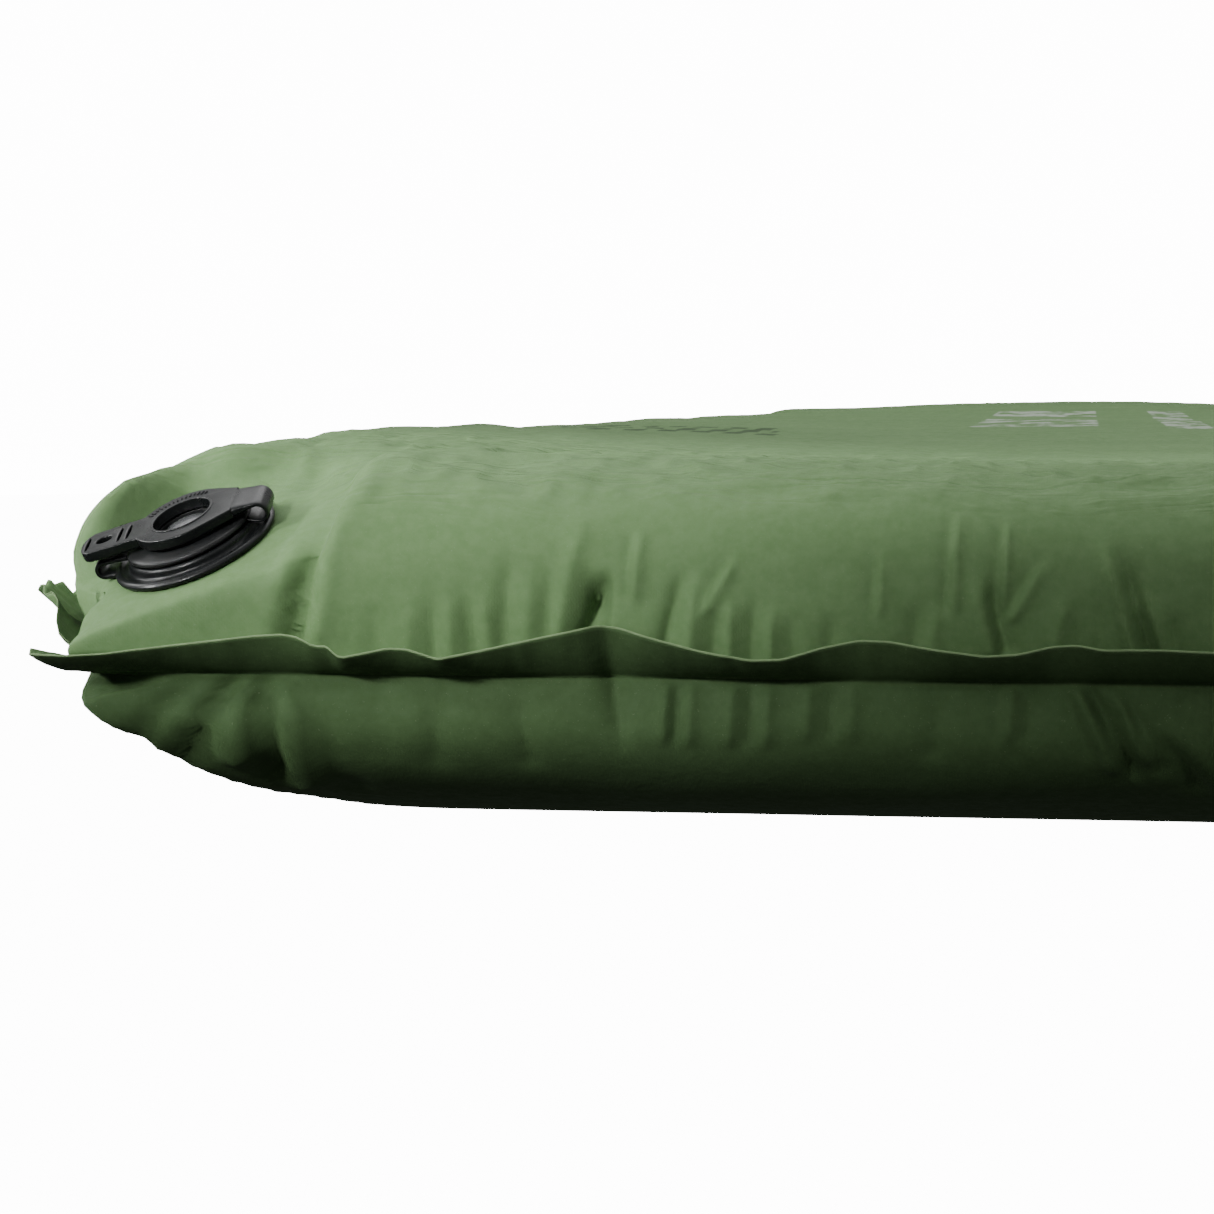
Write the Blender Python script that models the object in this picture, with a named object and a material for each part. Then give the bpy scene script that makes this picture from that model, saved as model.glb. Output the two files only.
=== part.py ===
"""Inflatable sleeping pad: two welded sheets over a foam core, with a folded valve on one corner.

Metres, +Z up. X runs across the pad and Y along it. The origin is on the floor under the middle of the pad,
and the valve is on the corner at -X, -Y. Valve sizes are in the valve's own frame: its X axis runs from the
pull tab to the far strap loop, its Z axis points out of the pad, and Z zero is the face of the top sheet.
"""

import math

import bmesh
import bpy
from mathutils import Matrix, Vector

MM = 0.001
GAP = 0.3 * MM  # between pieces that touch on the real pad

# The pad
WIDTH = 0.650
LENGTH = 1.970
SEAM_HEIGHT = 0.050
SHOULDER_HEIGHT = 0.098
CROWN_HEIGHT = 0.107
CROWN_SPAN = 0.130  # the top rises from shoulder to crown over this distance
SHEET = 0.6 * MM
FLANGE_WIDTH = 0.015
FLANGE_TILT = math.radians(30)
SEAM_CORNER = 0.040
TOP_ROLL = 0.070  # how far in from the seam the side turns into the top
TOP_BULGE = 0.004
TOP_BULGE_HEIGHT = 0.020
BOTTOM_ROLL = 0.070
BOTTOM_BULGE = 0.002
BOTTOM_BULGE_HEIGHT = 0.012
SIDE_POWER = 2.4  # 2 is an ellipse, and more is squarer
FOAM_INSET = 0.024
FOAM_CLEARANCE = 0.0008
FOAM_CORNER = 0.115  # wide enough to leave the corner free for the valve
SHORT_SIDE_STEPS = 3
LONG_SIDE_STEPS = 6
NEAR_CORNER = (0.012, 0.026, 0.044)  # extra points of each side, this far from its corners
SHORTEST_SIDE = 0.150  # on a shorter side they keep the same shares as on this one
CORNER_STEPS = 8

# The valve on the pad
VALVE_CENTRE = Vector((-0.2845, -0.9455, 0.0862))
VALVE_OUT = Vector((-0.300, -0.400, 0.866)).normalized()
TAB_TO_LOOP = Vector((0.960, -0.060, 0.285))
FACET_RADIUS = 0.035
FACET_BLEND = 0.020
FACET_DEPTH = 0.013
ROUND_STEPS = 32

# Radii and heights of the valve, in its own frame
BASE_RADIUS = 0.026
BORE_RADIUS = 0.0155
NECK_RADIUS = 0.0181
NECK_DEPTH = 0.0056
GUARD_FLOOR = -0.0108
COLLAR_RADIUS = 0.019
COLLAR_TOP = 0.0045
RIM_TOP = 0.0024
PLUG_RADIUS = 0.020
PLUG_BOTTOM = COLLAR_TOP + GAP
PLUG_TOP = 0.0070
NOZZLE_TOP = 0.0080
NOZZLE_RADIUS = 0.0132
INFLATION_HOLE = 0.0094
SKIRT_RADIUS = 0.0142
SKIRT_BORE = 0.0120
SKIRT_DEPTH = 0.0045
BEAD = 0.7 * MM
SEAT_RADIUS = SKIRT_BORE - GAP
SEAT_LOW = -0.0008
SEAT_TOP = 0.0006
SEAT_HOLE = 0.0013
SPOKES = 4
SPOKE_HALF_TURN = math.radians(14)
WINDOW_OUTSIDE = 0.0096
WINDOW_INSIDE = 0.0034
FLAP_RADIUS = 0.0105
FLAP_THICKNESS = 0.7 * MM
STEM_RADIUS = 0.0010
STEM_TOP = 0.0036
STEM_HEAD = 0.0017
CAP_BOTTOM = NOZZLE_TOP + GAP
CAP_TOP = 0.0117
CAP_RADIUS = 0.0155
CAP_HOLE = 0.0090
TAB_TIP = -0.0335
TAB_WIDTH = 0.0145
TAB_STEP = 0.6 * MM  # the tab lies this much below the ring of the cap
TAB_EYE = -0.0262
TAB_EYE_HALF = (0.0025, 0.0018)
TAB_SLOTS = (-0.0308, -0.0208, -0.0183)
TAB_SLOT_HALF = (0.0006, 0.0036)
TAB_SLOT_DEPTH = 1.6 * MM
STOPPER_LOW = 0.0054
STOPPER_DOME = 0.0089
STOPPER_TOP = 0.0111
STRAP = 0.0016
STRAP_WIDTH = 0.010
PLUG_STRAP_BEND = 0.00225
CAP_STRAP_BEND = 0.0034
RING = 1.2 * MM  # thickness of the weld ring and of the guard's floor
GUARD_BORE = 0.0186
GUARD_RADIUS = 0.0202
GUARD_TAPER = 0.0040
GUARD_BARS = 4
GUARD_SLOT = (0.006, 0.0032)
PLUG_AXIS = Vector((-0.0283, 0.0, 0.00365))
CAP_AXIS = Vector((0.0242, 0.0, 0.0087))


def clear_scene():
    for obj in list(bpy.data.objects):
        bpy.data.objects.remove(obj)


def material(name, colour, roughness):
    made = bpy.data.materials.new(name)
    made.use_nodes = True
    shader = made.node_tree.nodes["Principled BSDF"]
    shader.inputs["Base Color"].default_value = (*colour, 1.0)
    shader.inputs["Roughness"].default_value = roughness
    return made


def finished(name, bm, finish, parent=None):
    """One node from a bmesh. Its points stay where they are under a parent empty that has moved."""
    bmesh.ops.recalc_face_normals(bm, faces=bm.faces)
    mesh = bpy.data.meshes.new(name)
    bm.to_mesh(mesh)
    bm.free()
    mesh.shade_smooth()
    mesh.set_sharp_from_angle(angle=math.radians(35))
    mesh.materials.append(finish)
    obj = bpy.data.objects.new(name, mesh)
    bpy.context.scene.collection.objects.link(obj)
    if parent is not None:
        obj.parent = parent
        obj.location = -parent.location if parent.parent is not None else Vector()
    return obj


def stacked(rings, closed=False):
    """A solid through rings of points: capped at both ends, or joined end to end when closed."""
    bm = bmesh.new()
    rows = [[bm.verts.new(point) for point in ring] for ring in rings]
    pairs = list(zip(rows, rows[1:]))
    if closed:
        pairs.append((rows[-1], rows[0]))
    else:
        bm.faces.new(reversed(rows[0]))
        bm.faces.new(rows[-1])
    for low, high in pairs:
        for i in range(len(low)):
            j = (i + 1) % len(low)
            bm.faces.new((low[i], low[j], high[j], high[i]))
    return bm


def circle(radius, z):
    turns = [2 * math.pi * i / ROUND_STEPS for i in range(ROUND_STEPS)]
    return [Vector((radius * math.cos(a), radius * math.sin(a), z)) for a in turns]


def turned(profile, closed=True):
    """A solid turned from (radius, height) points; an open profile starts and ends next to the axis."""
    return stacked([circle(radius, z) for radius, z in profile], closed)


def extruded(outline, low, high, flat):
    """A prism of a flat outline; flat turns an outline point and a depth into a place."""
    return stacked([[flat(point, depth) for point in outline] for depth in (low, high)])


def upright(point, depth):
    return Vector((point.x, point.y, depth))


def cut(obj, bm, name, solver="EXACT"):
    """Subtracts a closed bmesh from the object."""
    cutter = finished(name, bm, obj.data.materials[0], obj.parent)
    cutter.hide_render = True
    cutter.display_type = "WIRE"
    boolean = obj.modifiers.new(name, "BOOLEAN")
    boolean.operation = "DIFFERENCE"
    boolean.object = cutter
    boolean.solver = solver


# ---- the pad ----


def smooth_step(value):
    value = min(max(value, 0.0), 1.0)
    return value * value * (3 - 2 * value)


def corner_radius(inset):
    """The corner of a ring: it follows the seam near the side, and widens towards the middle."""
    near = SEAM_CORNER - inset
    if inset <= 0:
        return near
    return math.hypot(near, 0.9 * inset)


def pad_ring(inset, z, radius=None):
    """A rounded rectangle, anticlockwise from the corner at +X, -Y; its inset is measured from the seam."""
    if radius is None:
        radius = corner_radius(inset)
    reach = FLANGE_WIDTH * math.cos(FLANGE_TILT) + inset
    half_x = WIDTH / 2 - reach
    half_y = LENGTH / 2 - reach
    radius = min(radius, 0.9 * half_x)
    points = []
    for quarter, (sx, sy) in enumerate(((1, -1), (1, 1), (-1, 1), (-1, -1))):
        cx, cy = sx * (half_x - radius), sy * (half_y - radius)
        for i in range(CORNER_STEPS + 1):
            turn = math.pi / 2 * (quarter - 1 + i / CORNER_STEPS)
            points.append(Vector((cx + radius * math.cos(turn), cy + radius * math.sin(turn), z)))
        start = points[-1]
        if quarter % 2 == 0:
            end = Vector((start.x, -start.y, z))
            steps = LONG_SIDE_STEPS
        else:
            end = Vector((-start.x, start.y, z))
            steps = SHORT_SIDE_STEPS
        length = max((end - start).length, SHORTEST_SIDE)
        shares = [near / length for near in NEAR_CORNER]
        shares += [i / steps for i in range(1, steps)]
        shares += [1 - near / length for near in reversed(NEAR_CORNER)]
        points += [start.lerp(end, share) for share in shares]
    return points


def side(bulge, bulge_height, roll, height, low_steps, roll_steps):
    """(inset, rise) up one side: from the seam out to the bulge, and round in to the flat."""
    points = []
    for i in range(1, low_steps + 1):
        share = i / low_steps
        points.append((-bulge * math.sin(share * math.pi / 2), bulge_height * share))
    for i in range(1, roll_steps + 1):
        turn = math.pi / 2 * i / roll_steps
        across = max(math.cos(turn), 0.0) ** (2 / SIDE_POWER)
        up = math.sin(turn) ** (2 / SIDE_POWER)
        points.append((roll - (roll + bulge) * across, bulge_height + (height - bulge_height) * up))
    return points


def crown():
    """(inset, rise) over the top, from the shoulder to the flat middle."""
    shoulder = SHOULDER_HEIGHT - SEAM_HEIGHT
    lift = CROWN_HEIGHT - SHOULDER_HEIGHT
    shares = (0.33, 0.67, 1.0)
    return [(TOP_ROLL + CROWN_SPAN * s, shoulder + lift * smooth_step(s)) for s in shares]


def inner(points, distance):
    """The same line, moved into the pad along its own normals."""
    moved = []
    for i, (inset, rise) in enumerate(points):
        before = points[max(i - 1, 0)]
        after = points[min(i + 1, len(points) - 1)]
        along = Vector((after[0] - before[0], after[1] - before[1])).normalized()
        moved.append((inset + distance * along.y, rise - distance * along.x))
    flat_rise = points[-1][1] - distance
    moved[-1] = (points[-1][0], flat_rise)
    return moved


def inner_rings(outer, up):
    """The rings of one side of a sheet, moved into the pad by the sheet's thickness along its normals."""
    bm = bmesh.new()
    rows = [[bm.verts.new(point) for point in ring] for ring in outer]
    for low, high in zip(rows, rows[1:]):
        for i in range(len(low)):
            j = (i + 1) % len(low)
            bm.faces.new((low[i], low[j], high[j], high[i]))
    bm.faces.new(rows[-1])
    bm.normal_update()
    moved = [[vert.co - up * SHEET * vert.normal for vert in row] for row in rows]
    bm.free()
    return moved


def sheet_rings(outer, up):
    """Rings round one sheet: from its inner flat, out along the flange, and back to its outer flat."""
    flange = Vector((-FLANGE_WIDTH * math.cos(FLANGE_TILT), FLANGE_WIDTH * math.sin(FLANGE_TILT)))
    upright = Vector((math.sin(FLANGE_TILT), math.cos(FLANGE_TILT)))
    weld = GAP / 2
    low_edge = flange + up * weld * upright
    high_edge = flange + up * (weld + SHEET) * upright
    turn_line = [
        (1.3 * SHEET, up * weld),
        tuple(low_edge),
        tuple(high_edge),
        (0.0, up * (weld + 1.3 * SHEET)),
    ]
    turn_rings = [pad_ring(inset, SEAM_HEIGHT + rise) for inset, rise in turn_line]
    return list(reversed(inner_rings(outer, up))) + turn_rings + outer


def onto_facet(point):
    """Moves a point of the top sheet near the valve onto the flat that the valve is welded to."""
    offset = point - VALVE_CENTRE
    height = offset.dot(VALVE_OUT)
    radius = (offset - height * VALVE_OUT).length
    share = 1 - smooth_step((radius - FACET_RADIUS) / FACET_BLEND)
    share *= 1 - smooth_step((abs(height) - FACET_DEPTH) / FACET_DEPTH)
    return point - share * height * VALVE_OUT


def top_line():
    rise = SHOULDER_HEIGHT - SEAM_HEIGHT
    return side(TOP_BULGE, TOP_BULGE_HEIGHT, TOP_ROLL, rise, 2, 12) + crown()


def bottom_line():
    return side(BOTTOM_BULGE, BOTTOM_BULGE_HEIGHT, BOTTOM_ROLL, SEAM_HEIGHT, 2, 7)


def make_top_sheet(finish, valve_frame):
    outer = []
    for inset, rise in top_line():
        outer.append([onto_facet(point) for point in pad_ring(inset, SEAM_HEIGHT + rise)])
    sheet = finished("top_sheet", stacked(sheet_rings(outer, 1)), finish)
    hole = turned([(NECK_RADIUS + 0.4 * MM, z) for z in (-0.010, 0.010)], closed=False)
    hole.transform(valve_frame.matrix_world)
    cut(sheet, hole, "cutter_valve_hole", solver="MANIFOLD")


def make_bottom_sheet(finish):
    outer = [pad_ring(inset, SEAM_HEIGHT - rise) for inset, rise in bottom_line()]
    finished("bottom_sheet", stacked(sheet_rings(outer, -1)), finish)


def make_foam_core(finish):
    """A block that fills the pad between the sheets, square at its side, with wide round corners."""
    depth = SHEET + FOAM_CLEARANCE
    top = [(inset, SEAM_HEIGHT + rise) for inset, rise in inner(top_line(), depth)]
    low = [(inset, SEAM_HEIGHT - rise) for inset, rise in inner(bottom_line(), depth)]
    line = [place for place in list(reversed(low)) + top if place[0] > FOAM_INSET]
    rings = [pad_ring(inset, z, max(corner_radius(inset), FOAM_CORNER)) for inset, z in line]
    finished("foam_core", stacked(rings), finish)


# ---- the valve ----


def empty(name, parent=None, location=(0, 0, 0)):
    made = bpy.data.objects.new(name, None)
    bpy.context.scene.collection.objects.link(made)
    made.parent = parent
    made.location = location
    return made


def make_valve_frame():
    x_axis = (TAB_TO_LOOP - TAB_TO_LOOP.dot(VALVE_OUT) * VALVE_OUT).normalized()
    y_axis = VALVE_OUT.cross(x_axis)
    turn = Matrix((x_axis, y_axis, VALVE_OUT)).transposed()
    frame = empty("valve_frame")
    frame.matrix_world = Matrix.LocRotScale(VALVE_CENTRE, turn, None)
    bpy.context.view_layer.update()
    return frame


def strap(path, half_width):
    """A flat strap bent along a path of (x, z) points, with its width across the valve."""
    left, right = [], []
    for i, point in enumerate(path):
        along = (path[min(i + 1, len(path) - 1)] - path[max(i - 1, 0)]).normalized()
        across = Vector((-along.y, along.x)) * STRAP / 2
        left.append(point + across)
        right.append(point - across)
    outline = left + right[::-1]
    return extruded(outline, -half_width, half_width, lambda p, depth: Vector((p.x, depth, p.y)))


def arc(centre, radius, start, end, steps):
    turns = [math.radians(start + (end - start) * i / steps) for i in range(steps + 1)]
    return [Vector((centre.x + radius * math.cos(a), centre.z + radius * math.sin(a))) for a in turns]


def make_weld_ring(finish, frame):
    top = -SHEET - GAP
    low = top - RING
    inside = NECK_RADIUS + GAP
    outside = BASE_RADIUS - 2.5 * MM
    ring = turned([(inside, low), (outside, low), (outside, top), (inside, top)])
    finished("valve_weld_ring", ring, finish, frame)


def make_foam_guard(finish, frame):
    """A cup below the weld ring, with slots round its wall for the air."""
    top = -SHEET - 2 * GAP - RING
    floor_top = GUARD_FLOOR + RING
    drain = 0.3 * MM
    profile = [
        (drain, GUARD_FLOOR),
        (GUARD_RADIUS - GUARD_TAPER, GUARD_FLOOR),
        (GUARD_RADIUS, GUARD_FLOOR + GUARD_TAPER),
        (GUARD_RADIUS, top),
        (GUARD_BORE, top),
        (GUARD_BORE, GUARD_FLOOR + GUARD_TAPER + 0.5 * MM),
        (GUARD_BORE - GUARD_TAPER, floor_top),
        (drain, floor_top),
    ]
    guard = finished("valve_foam_guard", turned(profile), finish, frame)
    size = Matrix.Diagonal((3 * GUARD_RADIUS, *GUARD_SLOT, 1))
    middle = Matrix.Translation((0, 0, (top + floor_top) / 2))
    for i in range(GUARD_BARS):
        bar = bmesh.new()
        turn = Matrix.Rotation(math.pi * i / GUARD_BARS, 4, "Z")
        bmesh.ops.create_cube(bar, size=1, matrix=turn @ middle @ size)
        cut(guard, bar, f"cutter_guard_slots_{i}")


def make_valve_base(finish, frame):
    profile = [
        (BORE_RADIUS, -NECK_DEPTH),
        (NECK_RADIUS, -NECK_DEPTH),
        (NECK_RADIUS, GAP),
        (BASE_RADIUS - 0.4 * MM, GAP),
        (BASE_RADIUS, 0.8 * MM),
        (BASE_RADIUS, RIM_TOP - 0.8 * MM),
        (BASE_RADIUS - 0.8 * MM, RIM_TOP),
        (COLLAR_RADIUS + 0.6 * MM, RIM_TOP),
        (COLLAR_RADIUS, RIM_TOP + 0.6 * MM),
        (COLLAR_RADIUS, COLLAR_TOP - 0.4 * MM),
        (COLLAR_RADIUS - 0.4 * MM, COLLAR_TOP),
        (BORE_RADIUS + 0.4 * MM, COLLAR_TOP),
        (BORE_RADIUS, COLLAR_TOP - 0.4 * MM),
    ]
    finished("valve_base", turned(profile), finish, frame)


def make_deflation_plug(finish, axis):
    """A rim over the base, a skirt with two sealing beads in its bore, and a hole for the stopper."""
    profile = [
        (INFLATION_HOLE, NOZZLE_TOP),
        (NOZZLE_RADIUS, NOZZLE_TOP),
        (NOZZLE_RADIUS, PLUG_TOP),
        (PLUG_RADIUS - 0.6 * MM, PLUG_TOP),
        (PLUG_RADIUS, PLUG_TOP - 0.6 * MM),
        (PLUG_RADIUS, PLUG_BOTTOM + 0.5 * MM),
        (PLUG_RADIUS - 0.5 * MM, PLUG_BOTTOM),
        (SKIRT_RADIUS, PLUG_BOTTOM),
    ]
    for bead_height in (0.5 * MM, -2.5 * MM):
        profile.append((SKIRT_RADIUS, bead_height + 0.6 * MM))
        profile.append((SKIRT_RADIUS + BEAD, bead_height))
        profile.append((SKIRT_RADIUS, bead_height - 0.6 * MM))
    profile += [
        (SKIRT_RADIUS - 0.4 * MM, -SKIRT_DEPTH),
        (SKIRT_BORE, -SKIRT_DEPTH),
        (SKIRT_BORE, PLUG_BOTTOM - 0.8 * MM),
        (INFLATION_HOLE, PLUG_BOTTOM - 0.8 * MM),
    ]
    finished("deflation_plug", turned(profile), finish, axis)


def make_flap_seat(finish, axis):
    """A disc with a window between each two spokes, and a hole for the stem of the flap."""
    inside, outside = SEAT_HOLE, SEAT_RADIUS
    profile = [(inside, SEAT_LOW), (outside, SEAT_LOW), (outside, SEAT_TOP), (inside, SEAT_TOP)]
    seat = finished("flap_seat", turned(profile), finish, axis)
    steps = 6
    for i in range(SPOKES):
        first = 2 * math.pi * i / SPOKES + SPOKE_HALF_TURN
        last = 2 * math.pi * (i + 1) / SPOKES - SPOKE_HALF_TURN
        turns = [first + (last - first) * step / steps for step in range(steps + 1)]
        outline = [WINDOW_OUTSIDE * Vector((math.cos(a), math.sin(a))) for a in turns]
        outline += [WINDOW_INSIDE * Vector((math.cos(a), math.sin(a))) for a in reversed(turns)]
        window = extruded(outline, SEAT_LOW - 2 * MM, SEAT_TOP + 2 * MM, upright)
        cut(seat, window, f"cutter_seat_window_{i}")


def make_flap(finish, axis):
    """A thin disc under the seat, on a stem whose head stops it after its short travel."""
    flap_top = SEAT_LOW - GAP
    profile = [
        (FLAP_RADIUS - 0.5 * MM, flap_top - FLAP_THICKNESS),
        (FLAP_RADIUS, flap_top - 0.4 * MM),
        (FLAP_RADIUS, flap_top),
        (STEM_RADIUS, flap_top),
        (STEM_RADIUS, STEM_TOP - 1.5 * MM),
        (STEM_HEAD, STEM_TOP - 1.2 * MM),
        (STEM_HEAD - 0.1 * MM, STEM_TOP - 0.4 * MM),
        (STEM_HEAD / 2, STEM_TOP),
    ]
    finished("non_return_flap", turned(profile, closed=False), finish, axis)


def cap_outline(steps=28):
    """The ring of the cap and its tab in one outline, anticlockwise from where the tab joins on."""
    join = math.asin(0.5 * TAB_WIDTH / CAP_RADIUS)
    outline = []
    for i in range(steps + 1):
        turn = -math.pi + join + (2 * math.pi - 2 * join) * i / steps
        outline.append(Vector((CAP_RADIUS * math.cos(turn), CAP_RADIUS * math.sin(turn))))
    round_end = 0.45 * TAB_WIDTH
    end_steps = 8
    for i in range(end_steps + 1):
        turn = math.pi / 2 + math.pi * i / end_steps
        outline.append(Vector((TAB_TIP + round_end * (1 + math.cos(turn)), round_end * math.sin(turn))))
    return outline


def slot_outline(centre_x, half, steps=12):
    turns = [2 * math.pi * i / steps for i in range(steps)]
    return [Vector((centre_x + half[0] * math.cos(a), half[1] * math.sin(a))) for a in turns]


def make_inflation_cap(finish, axis):
    """A ring with a hole for the stopper, and a thinner pull tab with an eye and three grooves."""
    low, high = CAP_BOTTOM - MM, CAP_TOP + MM
    cap = finished("inflation_cap", extruded(cap_outline(), CAP_BOTTOM, CAP_TOP, upright), finish, axis)
    cut(cap, turned([(CAP_HOLE, low), (CAP_HOLE, high)], closed=False), "cutter_cap_hole")
    block = 2 * CAP_RADIUS
    thin = bmesh.new()
    size = Matrix.Diagonal((block, block, 4 * MM, 1))
    place = Matrix.Translation((-CAP_RADIUS - block / 2, 0, CAP_TOP - TAB_STEP + 2 * MM))
    bmesh.ops.create_cube(thin, size=1, matrix=place @ size)
    cut(cap, thin, "cutter_tab_step")
    cut(cap, extruded(slot_outline(TAB_EYE, TAB_EYE_HALF), low, high, upright), "cutter_tab_eye")
    for i, centre_x in enumerate(TAB_SLOTS):
        slot = slot_outline(centre_x, TAB_SLOT_HALF)
        cut(cap, extruded(slot, CAP_TOP - TAB_SLOT_DEPTH, high, upright), f"cutter_tab_slot_{i}")


def make_cap_stopper(finish, axis):
    """A shank that closes the inflation hole, under a dome inside the ring of the cap."""
    radius = CAP_HOLE - GAP
    lead_in = MM
    profile = [(radius - lead_in, STOPPER_LOW), (radius, STOPPER_LOW + lead_in), (radius, STOPPER_DOME)]
    steps = 5
    for i in range(1, steps):
        turn = math.pi / 2 * i / steps
        rise = (STOPPER_TOP - STOPPER_DOME) * math.sin(turn)
        profile.append((radius * math.cos(turn), STOPPER_DOME + rise))
    finished("cap_stopper", turned(profile, closed=False), finish, axis)


def make_plug_strap(finish, frame):
    """From the rim of the base, round the plug's axis, to the rim of the plug."""
    path = [Vector((-BASE_RADIUS - GAP, PLUG_AXIS.z - PLUG_STRAP_BEND))]
    path += arc(PLUG_AXIS, PLUG_STRAP_BEND, -90, -270, 12)
    path.append(Vector((-PLUG_RADIUS - GAP, PLUG_AXIS.z + PLUG_STRAP_BEND)))
    finished("plug_strap_loop", strap(path, STRAP_WIDTH / 2), finish, frame)


def make_cap_strap(finish, axis):
    """From the rim of the plug, up and over the cap's axis, down to the ring of the cap."""
    path = [Vector((PLUG_RADIUS + GAP, PLUG_TOP - 1.3 * MM))]
    path += arc(CAP_AXIS, CAP_STRAP_BEND, -75, 105, 12)
    path.append(Vector((CAP_RADIUS + GAP + 1.5 * MM, CAP_TOP - 0.8 * MM)))
    path.append(Vector((CAP_RADIUS + GAP, CAP_TOP - 1.2 * MM)))
    finished("cap_strap_loop", strap(path, STRAP_WIDTH / 2), finish, axis)


def main():
    clear_scene()
    green = material("coated_fabric_upper", (0.155, 0.235, 0.095), 0.62)
    dark_green = material("coated_fabric_lower", (0.085, 0.130, 0.060), 0.66)
    cream = material("open_cell_foam", (0.78, 0.72, 0.52), 0.95)
    black = material("black_valve_rubber", (0.020, 0.021, 0.022), 0.55)
    grey = material("grey_valve_plastic", (0.060, 0.062, 0.065), 0.45)
    clear_rubber = material("clear_silicone", (0.55, 0.57, 0.58), 0.35)

    valve_frame = make_valve_frame()
    plug_axis = empty("plug_hinge_axis", valve_frame, PLUG_AXIS)
    cap_axis = empty("cap_hinge_axis", valve_frame, CAP_AXIS)

    make_top_sheet(green, valve_frame)
    make_bottom_sheet(dark_green)
    make_foam_core(cream)
    make_weld_ring(black, valve_frame)
    make_foam_guard(grey, valve_frame)
    make_valve_base(black, valve_frame)
    make_plug_strap(black, valve_frame)
    make_deflation_plug(black, plug_axis)
    make_flap_seat(grey, plug_axis)
    make_flap(clear_rubber, plug_axis)
    make_cap_strap(black, plug_axis)
    make_inflation_cap(black, cap_axis)
    make_cap_stopper(black, cap_axis)


main()
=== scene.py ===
"""Looks of the inflatable sleeping pad: its fabric with flange, puckers and creases, and its valve.

Metres, in the frame's own axes: X across the pad, Y along it, +Z up. The valve is on the -X, -Y corner.
"""

import math

import bmesh
import bpy
import numpy as np
from mathutils import Matrix, Vector


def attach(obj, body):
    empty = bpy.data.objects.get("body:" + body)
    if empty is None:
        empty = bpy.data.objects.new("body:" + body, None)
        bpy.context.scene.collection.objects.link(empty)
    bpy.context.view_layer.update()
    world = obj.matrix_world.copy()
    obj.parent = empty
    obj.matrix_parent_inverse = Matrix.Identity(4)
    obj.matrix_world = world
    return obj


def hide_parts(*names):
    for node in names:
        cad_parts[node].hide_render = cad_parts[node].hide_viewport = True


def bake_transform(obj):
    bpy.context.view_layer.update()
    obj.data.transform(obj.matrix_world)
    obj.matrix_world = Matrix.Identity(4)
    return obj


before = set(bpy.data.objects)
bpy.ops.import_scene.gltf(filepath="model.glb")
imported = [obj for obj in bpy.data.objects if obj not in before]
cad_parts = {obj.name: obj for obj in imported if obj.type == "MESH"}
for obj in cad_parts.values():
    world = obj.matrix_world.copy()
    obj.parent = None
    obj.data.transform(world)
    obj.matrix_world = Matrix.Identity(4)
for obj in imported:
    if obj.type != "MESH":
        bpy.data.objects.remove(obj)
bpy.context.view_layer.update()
MM = 0.001

# ---- sizes of the pad's skin ----

SEAM_X = 0.3155
SEAM_Y = 0.975
SEAM_Z = 0.0508
TOP_RISE = 0.0597  # from the seam to the top
MIDDLE_DIP = 0.002  # the foam ties the middle of the top down
FLANGE = 0.017
SKIN = 0.25 * MM
SIDE_PULL = 0.004  # the long sides draw in between their corners
GROOVE = 0.0052  # depth of the sharp fold that crosses the near flange

# ---- the valve's frame ----

VALVE_CENTRE = Vector((-0.2845, -0.9455, 0.0862))
VALVE_OUT = Vector((-0.300, -0.400, 0.866)).normalized()
TAB_TO_LOOP = Vector((0.960, -0.060, 0.285))
VALVE_X = (TAB_TO_LOOP - TAB_TO_LOOP.dot(VALVE_OUT) * VALVE_OUT).normalized()
VALVE_Y = VALVE_OUT.cross(VALVE_X)
CENTRE, OUT = np.array(VALVE_CENTRE), np.array(VALVE_OUT)
VALVE = Matrix.Translation(VALVE_CENTRE) @ Matrix((VALVE_X, VALVE_Y, VALVE_OUT)).transposed().to_4x4()
FACET_RADIUS = 0.0275  # the skin is flat out to here round the valve's axis
FACET_BLEND = 0.013  # and back in its own shape this much further out
VALVE_HOLE = 0.0168  # radius of the opening in the top sheet
TAB_START = 0.0285  # from the axis to where the pull tab overhangs the skin
TAB_ROOM = 0.0022  # the skin there stays this far below the valve's plane


def smooth(value):
    value = np.clip(value, 0.0, 1.0)
    return value * value * (3 - 2 * value)


def hill(value, centre, width):
    """A soft hill of height 1 round the centre."""
    return np.exp(-(((value - centre) / width) ** 2))


def waves(at, length, seed, octaves=3):
    """A smooth seeded wander along a line, about -1 to 1."""
    rng = np.random.default_rng(seed)
    total = np.zeros_like(at)
    for octave in range(octaves):
        for part, shorter in ((1.0, 1.0), (0.4, 0.73)):
            step = length / 1.9**octave * shorter
            total += part * 0.55**octave * np.sin(2 * math.pi * at / step + rng.uniform(0, 6.3))
    return total / 2.2


def noise2(x, y, scale, seed):
    """Smooth seeded value noise in two directions, about -1 to 1."""
    rng = np.random.default_rng(seed)
    table = rng.uniform(-1, 1, (257, 257))
    u, v = x / scale + 128, y / scale + 128
    i, j = np.floor(u).astype(int), np.floor(v).astype(int)
    fu, fv = smooth(u - i), smooth(v - j)
    i, j = i % 256, j % 256
    low = table[i, j] * (1 - fu) + table[i + 1, j] * fu
    high = table[i, j + 1] * (1 - fu) + table[i + 1, j + 1] * fu
    return low * (1 - fv) + high * fv


def add_object(name, data):
    obj = bpy.data.objects.new(name, data)
    bpy.context.scene.collection.objects.link(obj)
    return obj


# ---- one side of the skin, from the seam to the flat ----


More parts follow.
